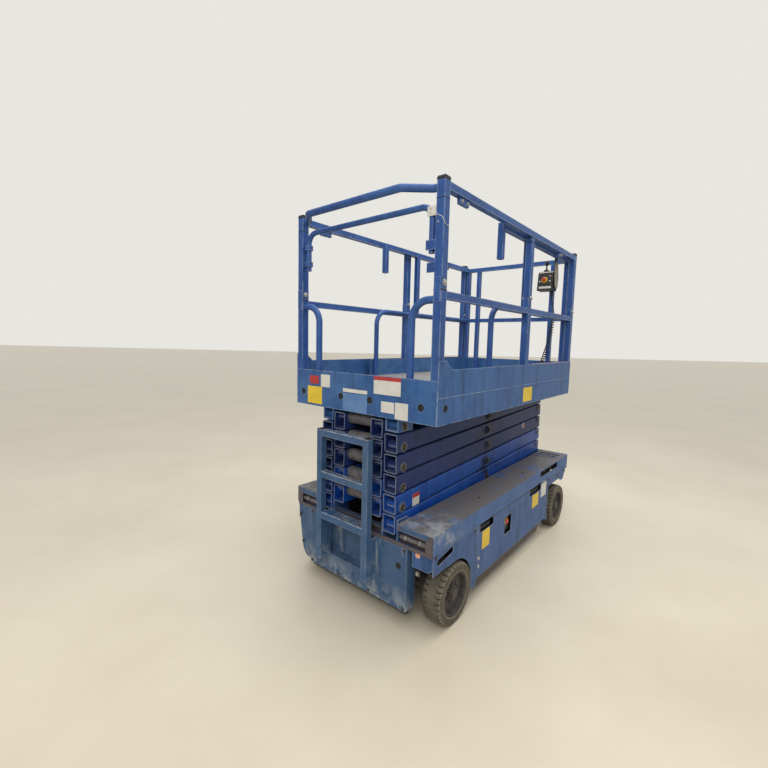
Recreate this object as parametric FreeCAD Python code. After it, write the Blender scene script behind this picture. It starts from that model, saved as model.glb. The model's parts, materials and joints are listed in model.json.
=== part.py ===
import FreeCAD, Part

import math
import os

from FreeCAD import Vector

# Electric scissor lift, slab type: a low chassis on four solid tyres, five pairs of crossed box arms,
# and a railed platform with a deck that rolls out to the front.
# Millimetres. +X points to the front (steered wheels), +Y to the left, +Z up, z = 0 is the floor.

os.makedirs("parts", exist_ok=True)

# Clearances shared by the whole machine
seat_gap = 0.3
pin_clearance = 0.05
side_clearance = 5.0
plate = 4.0

# Scissor stack
stage_count = 5
pin_span = 2183.0
rear_pin_x = -1067.0
base_pin_z = 591.0
arm_width = 95.0
arm_height = 112.0
arm_stack_gap = 10.0
arm_wall = 6.0
arm_corner = 9.0
arm_overhang = 65.0
pin_offset = 26.0
pin_radius = 25.0
pin_head_lip = 6.0
pin_head = 7.0
boss_wall = 8.0
boss_proud = 3.0
inner_arm_y = 112.0
arm_side_gap = 18.0
cross_tube_wall = 13.0
roller_wall = 9.0
roller_width = 70.0
roller_running_gap = 0.5
base_roller_gap = 3.0
top_roller_inset = 13.0

# Lift cylinders, each between the inner arms of two stages
cylinder_stages = [(1, 3), (3, 5)]
foot_inset = 141.5
eye_inset = 341.5
barrel_radius = 60.0
barrel_head = 40.0
barrel_head_lip = 8.0
rod_showing = 114.0
rod_radius = 28.0
rod_end_gap = 34.0
barrel_foot = 120.0
anchor_radius = 30.0
foot_eye_wall = 18.0
eye_radius = 42.0
eye_width = 60.0
eye_side_gap = 2.0
lug_thickness = 16.0
lug_half_height = 45.0
lug_collar = 14.0
lug_boss = 10.0
lug_boss_radius = 27.0

# Chassis frame and deck
rail_height = 137.0
rail_web = 8.0
rail_flange = 10.0
rail_lip_y = 217.0
rail_front_reach = 49.0
bracket_rear_reach = 56.5
bracket_front_reach = 82.0
bracket_foot_reach = 21.0
bracket_foot_slope = 45.0
bracket_plate = 10.0
bracket_outer_rise = 61.0
bracket_inner_rise = 29.0
wall_rear_x = -640.0
pan_z = 152.0
pan_thickness = 6.0
pothole_bar_bottom = 72.0
pothole_bar = 10.0
pothole_bar_inset = 60.0
pothole_bar_slope = 50.0
cross_member_height = 70.0
cross_member_width = 80.0
cross_member_wall = 6.0
middle_member_x = 0.0
front_member_setback = 425.0
rail_end_gap = 15.0
deck_rise = 43.0
deck_ledge_width = 252.0
deck_rear_reach = 63.0
deck_front_reach = 25.0
deck_band = 110.0
deck_slot = 18.0
deck_side_slot_reach = (475.0, 45.0)
deck_side_slot_drop = (59.0, 12.0)
deck_bay_reach = (15.0, 165.0)
deck_bay_inner_rim = 22.0
deck_bay_outer_rim = 42.0
deck_bar_size = 40.0
deck_bar_height = 36.0
deck_bar_drop = 6.0
deck_bar_steps = [40.0, 120.0]
outrigger_thickness = 8.0
outrigger_hole = 34.0
rear_outrigger_step = 70.0
door_rear_outrigger_step = 12.0
door_front_outrigger_step = 432.0
middle_outrigger_x = -165.0
front_outrigger_step = 13.0
beam_flange_drop = 129.0
beam_flange = 8.0
beam_depth = 45.0
beam_lip = 6.0
beam_lip_rise = 13.0
beam_centre_drop = 58.0
beam_end_drop = 40.0
beam_end_width = 45.0
bumper_reach = 55.0
bumper_face_drop = 74.0
front_beam_drop = 164.0
bumper_foot = 6.0
bumper_foot_rise = 50.0
bumper_foot_inset = 60.0
gusset_thickness = 6.0
gusset_y = 120.0
gusset_drop = 134.0
tie_down_drop = 91.0
tie_down_radius = 13.0

# Wheels and axles
tyre_radius = 190.0
tyre_width = 127.0
tyre_shoulder = 12.0
wheel_proud = 10.0
rim_radius = 130.0
rim_wall = 10.0
rim_dish = 26.0
rim_inner_inset = 4.0
rim_outer_inset = 6.0
hub_radius = 46.0
hub_inner_inset = 16.0
hub_outer_inset = 12.0
axle_radius = 22.0
axle_cap_radius = 32.0
axle_cap = 9.0
axle_cap_gap = 1.0
rear_axle_x = -875.0
front_axle_setback = 180.0
axle_beam_size = 90.0
axle_beam_wall = 8.0
axle_upright_inset = 23.0
axle_upright_width = 70.0
drive_motor_radius = 62.0
drive_motor_gap = 7.0
motor_flange = 16.0
motor_flange_lip = 18.0

# Steering
kingpin_inset = 68.0
kingpin_radius = 20.0
kingpin_end_gap = 4.0
kingpin_housing_wall = 18.0
knuckle_wall = 22.0
knuckle_drop = 40.0
housing_rise = 42.0
housing_gap = 1.0
carrier_width = 120.0
carrier_thickness = 40.0
carrier_lap = 8.5
steer_arm_length = 150.0
steer_arm_width = 40.0
steer_arm_thickness = 14.0
steer_pin_radius = 10.0
steer_pin_end = 6.0
tie_rod_drop = 5.0
tie_rod_radius = 12.0
tie_rod_end_radius = 8.4
tie_rod_sleeve_inset = 60.0
tie_eye_wall = 9.0
tie_eye_half = 9.0

# Side bodywork
skin_inset = 3.0
skin_gap = 4.0
skin_bottom = 117.0
fender_rear_inset = 10.0
fender_front_x = -605.0
fender_tail_drop = 112.0
fender_corner = 50.0
fender_slot_radius = 20.0
fender_slot_ends = [(58.0, 58.0), (195.0, 35.0)]
arch_gap = 18.0
arch_tail_lap = 10.0
door_end_gap = 8.0
door_front_setback = 295.0
door_bottom = 160.0
door_top_gap = 5.0
door_flange = 22.0
notch_depth = 54.0
rear_notch = (27.0, 227.0)
front_notch = (397.0, 144.0)
button_window = (-181.0, -64.0, 308.0, 442.0)
hinge_standoff = 9.0
hinge_pin_radius = 5.0
hinge_eye_wall = 4.0
hinge_heights = [210.0, 440.0]
hinge_eye_height = 40.0
hinge_strap = 30.0
hinge_strap_thickness = 4.0
hinge_bracket = 6.0
hinge_bracket_gap = 2.0
pillar_gap = 22.0
pillar_width = 23.0
pillar_depth = 22.0
pillar_bottom = 130.0
valance_drop = 79.0
front_skin_steps = [(45.0, 79.0), (95.0, 110.0), (165.0, 110.0)]
front_skin_end_drop = 50.0

# Batteries and power pack
battery_end_inset = 80.0
battery_front_inset = 50.0
battery_side_gap = 6.0
battery_door_gap = 14.0
battery_top_drop = 19.5
battery_chamfer = 10.0

# Rear panel and ladder
panel_standoff = 4.0
panel_depth = 84.0
panel_right_y = -415.0
panel_left_y = 440.0
panel_bottom = 118.0
recess_right_y = -50.0
recess_left_y = 360.0
recess_bottom = 240.0
recess_top_drop = 35.0
recess_back_gap = 2.0
ladder_standoff = 88.0
ladder_right_y = -175.0
ladder_left_y = 276.0
ladder_bottom = 240.0
stile_width = 42.0
stile_depth = 44.0
stile_wall = 4.0
rung_height = 42.0
rung_rises = [486.0, 211.0]
step_drop = 64.0
step_height = 45.0
step_gap = 11.0
step_notch_y = 218.0

# Platform
platform_rear_reach = 73.0
platform_front_reach = 14.0
platform_half_width = 590.0
track_clearance = 0.5
track_height = 64.5
track_wall = 8.0
joist_count = 5
joist_height = 93.4
joist_width = 60.0
joist_wall = 4.0
joist_end_inset = 45.0
floor_thickness = 4.0
skirt_drop = 148.0
toe_height = 151.0
toe_rear_inset = 135.0
corner_height = 202.0
corner_slope = 60.0
entry_panel_height = 95.0
pivot_bracket_drop = 29.0
pivot_boss_wall = 4.0
skirt_lip = 30.0
entry_lip = 12.0
panel_hole_radius = 22.0
panel_hole_drop = 58.0
panel_hole_places = [515.0, 144.0, -107.0, -482.0]
side_hole_inset = 80.0

# Guard rails of the platform
post_size = 50.0
post_wall = 3.0
rail_size = 40.0
rail_wall = 3.0
post_height = 1132.0
mid_rail_height = 547.0
top_rail_height = 1097.0
lower_post_height = 571.0
fold_gap = 3.0
ear_thickness = 5.0
ear_height = 130.0
ear_width = 40.0
middle_ear_height = 70.0
middle_post_x = 70.0
middle_post_slack = 4.0
front_post_inset = 30.0
rail_tube_radius = 21.0
bow_reach = 84.0
bow_inset = 105.4
bow_drop = 8.0
bow_straight = 30.0
bow_shoulder = 60.0
bow_bend = 40.0
grab_inset = 150.4
grab_bend = 110.0
grab_top_drop = 25.0
grab_foot_drop = 60.0
gate_tube_radius = 17.0
gate_top_drop = 90.0
gate_height = 245.0
gate_bend = 70.0
gate_inset = 35.7
gate_hinge_drops = [200.0, 93.0]
gate_hinge_height = 30.0
gate_hinge_arm = 18.0
gate_eye_wall = 9.0
gate_stop_drop = 205.0
gate_stop_size = 50.0
gate_stop_plate = 6.0
gate_stop_lap = 24.0

# Roll-out deck
extension_rear_x = -440.0
extension_nose_reach = 7.0
extension_side_gap = 5.7
extension_floor_rise = 14.0
extension_toe_height = 133.0
extension_post = 38.0
extension_rail_height = 1067.0
extension_leg_drop = 217.0
extension_leg_x = -300.0
extension_tube_leg_inset = 45.0
extension_tube_bend = 110.0
extension_front_post_inset = 121.7
extension_middle_post_x = 150.0
glide_width = 50.0
glide_side_inset = 60.0
glide_rear_inset = 30.0
glide_front_inset = 40.0

# Platform control box, hung inside the roll-out deck's right rail
control_nose_setback = 322.0
control_depth = 120.0
control_width = 133.0
control_drop = 294.0
control_height = 165.0
control_slope = 24.0
hanger_plate = 6.0
hanger_width = 60.0
hanger_lap = 90.0
gland_radius = 11.0
gland_length = 18.0
gland_setback = 90.0
gland_side = 26.1
socket_radius = 21.0
socket_length = 55.0
socket_half = 32.0
socket_lap = 8.0

# Lead of the control box: steps from its gland, then from the top of the curly part
lead_radius = 5.0
curl_radius = 17.0
lead_steps = [(0, 0, 0), (0, 0, -57), (30, -5, -107)]
curl_top_step = (60, -6, -218)
curl_steps = [(0, 0, 0), (-15, -1, -89), (-50, 3, -184), (-95, 7, -269), (-150, 11, -349), (-210, 14, -434)]
curl_lead_in = 0.55
bend_share = 0.45

# Worked out from the values above
stage_pitch = arm_height + arm_stack_gap
boss_radius = pin_radius + boss_wall
pin_head_radius = pin_radius + pin_head_lip
cross_tube_radius = pin_radius + cross_tube_wall
roller_radius = pin_radius + roller_wall
foot_eye_radius = anchor_radius + foot_eye_wall
foot_reach = pin_span / 2 - foot_inset
eye_reach = pin_span / 2 - eye_inset
arm_half = math.sqrt((pin_span / 2) ** 2 - pin_offset ** 2)
stowed_angle = math.degrees(math.asin(stage_pitch / pin_span))
arm_tilt = stowed_angle - math.degrees(math.atan2(pin_offset, arm_half))
front_pin_x = rear_pin_x + pin_span * math.cos(math.radians(stowed_angle))
span_end_x = rear_pin_x + pin_span
centre_x = (rear_pin_x + front_pin_x) / 2
inner_arm_far = inner_arm_y + arm_width
outer_arm_y = inner_arm_far + arm_side_gap
outer_arm_far = outer_arm_y + arm_width
pin_end = outer_arm_far + boss_proud
top_pin_z = base_pin_z + stage_count * stage_pitch

slide_top = base_pin_z - roller_radius - roller_running_gap
rail_bottom = slide_top - rail_height
web_y = outer_arm_far + side_clearance
rail_far_y = web_y + rail_web
rail_front_x = span_end_x + rail_front_reach
bracket_rear_x = rear_pin_x - bracket_rear_reach
bracket_front_x = rear_pin_x + bracket_front_reach
bracket_foot_x = rear_pin_x + bracket_foot_reach
deck_inner_y = outer_arm_far + deck_slot
deck_half_width = deck_inner_y + deck_ledge_width
deck_rear_x = rear_pin_x - deck_rear_reach
deck_front_x = rail_front_x + deck_front_reach
deck_top = base_pin_z + deck_rise
deck_underside = deck_top - plate
beam_flange_z = deck_top - beam_flange_drop
bumper_front_x = deck_front_x + bumper_reach
front_axle_x = rail_front_x - front_axle_setback
cross_member_places = [wall_rear_x + cross_member_width, middle_member_x, front_axle_x - front_member_setback,
                       front_axle_x, rail_front_x - cross_member_width / 2 - rail_end_gap]

track_outer_half = deck_half_width + wheel_proud
wheel_inner_y = track_outer_half - tyre_width
kingpin_y = wheel_inner_y - kingpin_inset
kingpin_housing_radius = kingpin_radius + kingpin_housing_wall
knuckle_radius = kingpin_radius + knuckle_wall
housing_bottom = tyre_radius + housing_rise
housing_top = rail_bottom + carrier_lap
knuckle_bottom = tyre_radius - knuckle_drop
tie_rod_z = tyre_radius - tie_rod_drop
tie_eye_radius = steer_pin_radius + tie_eye_wall

skin_half_width = deck_half_width - skin_inset
skin_top = deck_top - deck_band - skin_gap
fender_rear_x = deck_rear_x + fender_rear_inset
fender_tail_z = skin_top - fender_tail_drop
arch_radius = tyre_radius + arch_gap
door_rear_x = fender_front_x + door_end_gap
door_front_x = front_axle_x - door_front_setback
door_top = skin_top - door_top_gap
wall_front_x = door_front_x
hinge_x = door_front_x + hinge_standoff
hinge_eye_radius = hinge_pin_radius + hinge_eye_wall
hinge_y = skin_half_width - hinge_eye_radius
pillar_rear_x = door_front_x + pillar_gap
pillar_front_x = pillar_rear_x + pillar_width
valance_bottom = skin_top - valance_drop
battery_top = rail_bottom - battery_top_drop
panel_rear_x = deck_rear_x - panel_standoff
recess_top = beam_flange_z - recess_top_drop
ladder_rear_x = panel_rear_x - ladder_standoff
step_top = deck_top - step_drop
step_front_x = panel_rear_x - step_gap
outrigger_places = [deck_rear_x + rear_outrigger_step, door_rear_x + door_rear_outrigger_step,
                    middle_outrigger_x, door_front_x - door_front_outrigger_step,
                    rail_front_x - front_outrigger_step]

track_z = top_pin_z + roller_radius + track_clearance
track_top = track_z + track_height
floor_z = track_top + joist_height + 2 * seat_gap + floor_thickness
platform_rear_x = rear_pin_x - platform_rear_reach
platform_front_x = span_end_x + platform_front_reach
skirt_bottom = floor_z - skirt_drop
toe_top = floor_z + toe_height
toe_rear_x = platform_rear_x + toe_rear_inset
corner_top = floor_z + corner_height
entry_panel_top = floor_z + entry_panel_height
mid_rail_z = floor_z + mid_rail_height
top_rail_z = floor_z + top_rail_height
post_top = floor_z + post_height
lower_post_top = floor_z + lower_post_height
post_y = platform_half_width - plate - seat_gap - post_size / 2
post_inner_y = post_y - post_size / 2
rear_post_x = platform_rear_x + plate + seat_gap + post_size / 2
front_post_x = platform_front_x - front_post_inset
gate_pivot_y = post_inner_y - gate_inset
gate_top_z = top_rail_z - gate_top_drop
gate_bottom_z = gate_top_z - gate_height

extension_floor_z = floor_z + extension_floor_rise
extension_half_width = post_inner_y - extension_side_gap
extension_nose_x = platform_front_x + extension_nose_reach
extension_toe_top = extension_floor_z + extension_toe_height
extension_rail_z = extension_floor_z + extension_rail_height
extension_post_y = extension_half_width - plate - seat_gap - extension_post / 2
control_bottom = extension_rail_z - control_drop
control_rear_x = extension_nose_x - control_nose_setback
control_near_y = -extension_post_y + extension_post / 2 + hanger_plate + 2 * seat_gap
lead_exit = Vector(control_rear_x + gland_setback, control_near_y + gland_side, control_bottom - gland_length)


def box(x0, x1, y0, y1, z0, z1):
    """A block between six planes."""
    return Part.makeBox(x1 - x0, y1 - y0, z1 - z0, Vector(x0, y0, z0))


def tube_box(x0, x1, y0, y1, z0, z1, wall, along):
    """A rectangular tube, open at both ends along x, y or z."""
    end = 1.0
    margins = {"x": (-end, wall, wall), "y": (wall, -end, wall), "z": (wall, wall, -end)}
    mx, my, mz = margins[along]
    outer = box(x0, x1, y0, y1, z0, z1)
    return outer.cut(box(x0 + mx, x1 - mx, y0 + my, y1 - my, z0 + mz, z1 - mz))


def rod_y(x, z, y0, y1, radius):
    """A round bar across the machine."""
    return Part.makeCylinder(radius, y1 - y0, Vector(x, y0, z), Vector(0, 1, 0))


def rod_z(x, y, z0, z1, radius):
    """An upright round bar."""
    return Part.makeCylinder(radius, z1 - z0, Vector(x, y, z0), Vector(0, 0, 1))


def mirrored(shape):
    """The same piece on the other side of the machine."""
    return shape.mirror(Vector(0, 0, 0), Vector(0, 1, 0))


def pair(shape):
    """A left piece and its mirror image on the right."""
    return [shape, mirrored(shape)]


def fused(shapes):
    """One solid from pieces that are welded together."""
    if len(shapes) == 1:
        return shapes[0]
    return shapes[0].multiFuse(shapes[1:]).removeSplitter()


def write(name, solids):
    """Write one sub-part."""
    shape = solids[0] if len(solids) == 1 else Part.makeCompound(solids)
    shape.exportStep("parts/" + name + ".step")


def bent_path(points, bends):
    """Straight runs with a tangent arc at each inner corner; bends gives each arc's radius."""
    edges = []
    start = points[0]
    for before, corner, after, bend in zip(points, points[1:], points[2:], bends):
        into = (corner - before).normalize()
        away = (after - corner).normalize()
        half_turn = into.getAngle(away) / 2
        cut_back = bend * math.tan(half_turn)
        arc_start = corner - into * cut_back
        arc_end = corner + away * cut_back
        inward = (away - into).normalize()
        centre = corner + inward * (bend / math.cos(half_turn))
        if (arc_start - start).Length > 0.01:
            edges.append(Part.LineSegment(start, arc_start).toShape())
        edges.append(Part.Arc(arc_start, centre - inward * bend, arc_end).toShape())
        start = arc_end
    edges.append(Part.LineSegment(start, points[-1]).toShape())
    return Part.Wire(edges)


def bent_tube(points, bend, radius):
    """A round tube bent to one radius at every corner."""
    wire = bent_path(points, [bend] * (len(points) - 2))
    section = Part.Wire([Part.Circle(points[0], points[1] - points[0], radius).toShape()])
    return wire.makePipeShell([section], True, False)


def outline_xz(points, y0, y1):
    """A plate with a straight-sided outline in the XZ plane, between two Y planes."""
    wire = Part.makePolygon([Vector(x, y0, z) for x, z in points + points[:1]])
    return Part.Face(wire).extrude(Vector(0, y1 - y0, 0))


# Wheels

def revolved_y(profile, x, z):
    """Turn a closed (radius, y) outline about a wheel's axle."""
    points = [Vector(x + radius, y, z) for radius, y in profile + profile[:1]]
    face = Part.Face(Part.makePolygon(points))
    return face.revolve(Vector(x, 0, z), Vector(0, 1, 0), 360)


def tyre(x):
    """A solid tyre with broken shoulders, on the left."""
    far = track_outer_half
    near = wheel_inner_y
    edge = tyre_shoulder
    profile = [(rim_radius, near), (tyre_radius - edge, near), (tyre_radius, near + edge),
               (tyre_radius, far - edge), (tyre_radius - edge, far), (rim_radius, far)]
    return revolved_y(profile, x, tyre_radius)


def rim(x):
    """A dished steel rim with a hub, on the left."""
    bore = axle_radius + pin_clearance
    edge = rim_radius - seat_gap
    barrel = edge - rim_wall
    near = wheel_inner_y + rim_inner_inset
    far = track_outer_half - rim_outer_inset
    web = far - rim_dish
    hub_near = wheel_inner_y + hub_inner_inset
    hub_far = far - hub_outer_inset
    profile = [(bore, hub_near), (hub_radius, hub_near), (hub_radius, web - rim_wall), (barrel, web - rim_wall),
               (barrel, near), (edge, near), (edge, far), (barrel, far),
               (barrel, web), (hub_radius, web), (hub_radius, hub_far), (bore, hub_far)]
    return revolved_y(profile, x, tyre_radius)


def write_wheels():
    """Four wheels: each a tyre on its own rim."""
    for end, x in (("rear", rear_axle_x), ("front", front_axle_x)):
        tyre_left = tyre(x)
        rim_left = rim(x)
        write("tyre_" + end + "_left", [tyre_left])
        write("tyre_" + end + "_right", [mirrored(tyre_left)])
        write("rim_" + end + "_left", [rim_left])
        write("rim_" + end + "_right", [mirrored(rim_left)])


def stub_axle(x, y0):
    """A stub axle with its end cap, on the left."""
    cap_y = track_outer_half - rim_outer_inset - hub_outer_inset + axle_cap_gap
    return fused([rod_y(x, tyre_radius, y0, cap_y, axle_radius),
                  rod_y(x, tyre_radius, cap_y, cap_y + axle_cap, axle_cap_radius)])


def rear_axle():
    """A square axle beam on two uprights, with a drive motor and stub axle at each end."""
    half = axle_beam_size / 2
    z0 = tyre_radius - half
    z1 = tyre_radius + half
    x0 = rear_axle_x - half
    x1 = rear_axle_x + half
    solids = [tube_box(x0, x1, -web_y, web_y, z0, z1, axle_beam_wall, "y")]
    upright_y = rail_lip_y + axle_upright_inset
    upright = tube_box(x0, x1, upright_y, upright_y + axle_upright_width, z1 + seat_gap, rail_bottom - seat_gap,
                       axle_beam_wall, "z")
    solids += pair(upright)
    motor_end = wheel_inner_y - drive_motor_gap
    flange_radius = drive_motor_radius + motor_flange_lip
    motor = rod_y(rear_axle_x, tyre_radius, web_y + seat_gap, motor_end, drive_motor_radius)
    flange = rod_y(rear_axle_x, tyre_radius, motor_end - motor_flange, motor_end, flange_radius)
    stub = stub_axle(rear_axle_x, motor_end - 1)
    solids += pair(fused([motor, flange, stub]))
    return solids


# Steering

def kingpin_carriers():
    """Arms from the frame with an upright bearing for each kingpin."""
    half = carrier_width / 2
    arm = box(front_axle_x - half, front_axle_x + half, rail_far_y + seat_gap, kingpin_y,
              housing_top - carrier_thickness, housing_top)
    housing = rod_z(front_axle_x, kingpin_y, housing_bottom, housing_top, kingpin_housing_radius)
    bore = rod_z(front_axle_x, kingpin_y, housing_bottom - 1, housing_top + 1, kingpin_radius + pin_clearance)
    return pair(fused([arm, housing]).cut(bore))


def knuckle():
    """Left steering knuckle: kingpin, hub block, stub axle, steering arm and its pin."""
    kingpin = rod_z(front_axle_x, kingpin_y, knuckle_bottom, housing_top - kingpin_end_gap, kingpin_radius)
    block = rod_z(front_axle_x, kingpin_y, knuckle_bottom, housing_bottom - housing_gap, knuckle_radius)
    stub = stub_axle(front_axle_x, kingpin_y)
    half = steer_arm_width / 2
    pin_x = front_axle_x - steer_arm_length
    arm = box(pin_x, front_axle_x, kingpin_y - half, kingpin_y + half, knuckle_bottom,
              knuckle_bottom + steer_arm_thickness)
    arm_end = rod_z(pin_x, kingpin_y, knuckle_bottom, knuckle_bottom + steer_arm_thickness, half)
    pin_top = tie_rod_z + tie_eye_half + steer_pin_end
    pin = rod_z(pin_x, kingpin_y, knuckle_bottom + 1, pin_top, steer_pin_radius)
    return fused([kingpin, block, stub, arm, arm_end, pin])


def tie_rod():
    """The track rod between the two steering arms."""
    pin_x = front_axle_x - steer_arm_length
    rod = rod_y(pin_x, tie_rod_z, -kingpin_y, kingpin_y, tie_rod_end_radius)
    sleeve_end = kingpin_y - tie_rod_sleeve_inset
    sleeve = rod_y(pin_x, tie_rod_z, -sleeve_end, sleeve_end, tie_rod_radius)
    shapes = [rod, sleeve]
    for y in (-kingpin_y, kingpin_y):
        shapes.append(rod_z(pin_x, y, tie_rod_z - tie_eye_half, tie_rod_z + tie_eye_half, tie_eye_radius))
    whole = fused(shapes)
    for y in (-kingpin_y, kingpin_y):
        whole = whole.cut(rod_z(pin_x, y, 0, 2 * tie_rod_z, steer_pin_radius + pin_clearance))
    return whole


# Scissor arms

def arm_pin_points(rear_up):
    """Pin centres (x, z) in the arm's own frame: rear, middle, front."""
    rear_side = 1 if rear_up else -1
    return [(-arm_half, rear_side * pin_offset), (0.0, 0.0), (arm_half, -rear_side * pin_offset)]


def bored_arm(rear_up):
    """A hollow box arm with rounded edges, and a bored boss at each of its three pins."""
    half = arm_half + arm_overhang
    arm = box(-half, half, -arm_width / 2, arm_width / 2, -arm_height / 2, arm_height / 2)
    long_edges = [edge for edge in arm.Edges if edge.Length > half]
    arm = arm.makeFillet(arm_corner, long_edges)
    arm = arm.cut(box(-half - 1, half + 1, -arm_width / 2 + arm_wall, arm_width / 2 - arm_wall,
                      -arm_height / 2 + arm_wall, arm_height / 2 - arm_wall))
    bosses = [rod_y(x, z, -arm_width / 2 + 1, arm_width / 2 + boss_proud, boss_radius)
              for x, z in arm_pin_points(rear_up)]
    arm = fused([arm] + bosses)
    for x, z in arm_pin_points(rear_up):
        arm = arm.cut(rod_y(x, z, -arm_width, arm_width, pin_radius + pin_clearance))
    return arm


def stage_low(stage):
    """Height of the lower pins of a stage, stowed."""
    return base_pin_z + (stage - 1) * stage_pitch


def set_in_stage(shape, y_middle, stage, tilt):
    """Tilt a piece from the arm's own frame and set it at its stage."""
    placed = shape.copy()
    placed.rotate(Vector(0, 0, 0), Vector(0, 1, 0), -tilt)
    placed.translate(Vector(centre_x, y_middle, stage_low(stage) + stage_pitch / 2))
    return placed


def cross_shaft(x, z, y_end):
    """A cross tube between the inner arms, with its pin ends through the arms."""
    half = inner_arm_y - seat_gap
    middle = rod_y(x, z, -half, half, cross_tube_radius)
    return fused([middle, rod_y(x, z, -y_end, y_end, pin_radius)])


def on_pin_line(stage, reach):
    """Point on the inner arm's pin line, at a distance from its middle pin; rearwards is negative."""
    angle = math.radians(stowed_angle)
    middle_z = stage_low(stage) + stage_pitch / 2
    return Vector(centre_x + reach * math.cos(angle), 0, middle_z - reach * math.sin(angle))


def ring_roller(x, z, y0):
    """A roller with a running bore, on the left."""
    body = rod_y(x, z, y0, y0 + roller_width, roller_radius)
    return body.cut(rod_y(x, z, y0 - 1, y0 + roller_width + 1, pin_radius + pin_clearance))


def cylinder_lugs(stage):
    """Two lug plates from the front cross tube back to the cylinder's rod eye."""
    eye = on_pin_line(stage, eye_reach)
    shaft = on_pin_line(stage, pin_span / 2)
    y0 = eye_width / 2 + eye_side_gap
    y1 = y0 + lug_thickness
    strip = box(0, (shaft - eye).Length, y0, y1, -lug_half_height, lug_half_height)
    strip.rotate(Vector(0, 0, 0), Vector(0, 1, 0), stowed_angle)
    strip.translate(eye)
    nose = rod_y(eye.x, eye.z, y0, y1, lug_half_height)
    boss = rod_y(eye.x, eye.z, y1 - 1, y1 + lug_boss, lug_boss_radius)
    collar = rod_y(shaft.x, shaft.z, y0, y1, cross_tube_radius + lug_collar)
    bore = rod_y(shaft.x, shaft.z, 0, y1 + lug_boss, cross_tube_radius + pin_clearance)
    return pair(fused([strip, nose, boss, collar]).cut(bore))


def outer_arms(stage):
    """The outer pair of a stage: low at the rear, high at the front."""
    solids = pair(set_in_stage(bored_arm(False), (outer_arm_y + outer_arm_far) / 2, stage, arm_tilt))
    if stage == stage_count:
        solids += pair(rod_y(front_pin_x, top_pin_z, inner_arm_y + 1, pin_end, pin_radius))
        solids += pair(ring_roller(front_pin_x, top_pin_z, inner_arm_y + top_roller_inset))
    return solids


def inner_arms(stage):
    """The inner pair of a stage, with its cross shafts, middle pins and cylinder anchors."""
    low = stage_low(stage)
    roller_y = outer_arm_y + base_roller_gap
    front_end = pin_end if stage > 1 else roller_y + roller_width + side_clearance
    solids = pair(set_in_stage(bored_arm(True), (inner_arm_y + inner_arm_far) / 2, stage, -arm_tilt))
    solids.append(cross_shaft(rear_pin_x, low + stage_pitch, pin_end))
    solids.append(cross_shaft(front_pin_x, low, front_end))
    middle_z = low + stage_pitch / 2
    middle_pin = rod_y(centre_x, middle_z, inner_arm_y, pin_end + pin_head, pin_radius)
    head = rod_y(centre_x, middle_z, pin_end + 1, pin_end + pin_head, pin_head_radius)
    solids += pair(fused([middle_pin, head]))
    if stage == 1:
        solids += pair(ring_roller(front_pin_x, base_pin_z, roller_y))
    half = inner_arm_y - seat_gap
    for foot_stage, eye_stage in cylinder_stages:
        if stage == foot_stage:
            foot = on_pin_line(stage, -foot_reach)
            solids.append(rod_y(foot.x, foot.z, -half, half, anchor_radius))
        if stage == eye_stage:
            solids += cylinder_lugs(stage)
    return solids


def write_scissor():
    """Ten bodies of arms."""
    for stage in range(1, stage_count + 1):
        write("outer_arms_%d" % stage, outer_arms(stage))
        write("inner_arms_%d" % stage, inner_arms(stage))


def along_cylinder(shape, foot, eye):
    """Lay a piece built along +X from the origin onto the line from foot to eye."""
    line = eye - foot
    angle = math.degrees(math.atan2(line.z, line.x))
    placed = shape.copy()
    placed.rotate(Vector(0, 0, 0), Vector(0, 1, 0), -angle)
    placed.translate(foot)
    return placed


def rod_x(x0, x1, radius):
    """A round bar along X through the origin line."""
    return Part.makeCylinder(radius, x1 - x0, Vector(x0, 0, 0), Vector(1, 0, 0))


def write_cylinders():
    """Two lift cylinders: a barrel on its anchor bar, and a rod that ends between two lugs."""
    names = ["lower", "upper"]
    half = eye_width / 2
    for name, (foot_stage, eye_stage) in zip(names, cylinder_stages):
        foot = on_pin_line(foot_stage, -foot_reach)
        eye = on_pin_line(eye_stage, eye_reach)
        length = (eye - foot).Length
        barrel_end = length - rod_showing
        body = rod_x(anchor_radius, barrel_end, barrel_radius)
        head = rod_x(barrel_end - barrel_head, barrel_end, barrel_radius + barrel_head_lip)
        barrel = fused([rod_y(0, 0, -half, half, foot_eye_radius), body, head])
        barrel = barrel.cut(rod_y(0, 0, -barrel_radius, barrel_radius, anchor_radius + pin_clearance))
        barrel = barrel.cut(rod_x(barrel_foot, barrel_end + 1, rod_radius + pin_clearance))
        rod_start = barrel_foot + rod_end_gap
        rod = fused([rod_x(rod_start, length, rod_radius), rod_y(length, 0, -half, half, eye_radius)])
        write("cylinder_barrel_" + name, [along_cylinder(barrel, foot, eye)])
        write("cylinder_rod_" + name, [along_cylinder(rod, foot, eye)])
        print("cylinder", name, "foot", foot, "eye", eye, "length", round(length, 2))


# Chassis

def frame_rails():
    """Side rails: a channel that opens inwards, on a deeper wall between the axles."""
    channel = box(bracket_front_x + seat_gap, rail_front_x, rail_lip_y, rail_far_y, rail_bottom, slide_top)
    hollow = box(bracket_front_x - 1, rail_front_x + 1, rail_lip_y - 1, web_y, rail_bottom + rail_flange,
                 slide_top - rail_flange)
    wall = box(wall_rear_x, wall_front_x, web_y, rail_far_y, pan_z + pan_thickness + seat_gap, rail_bottom + 1)
    return pair(fused([channel.cut(hollow), wall]))


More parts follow.
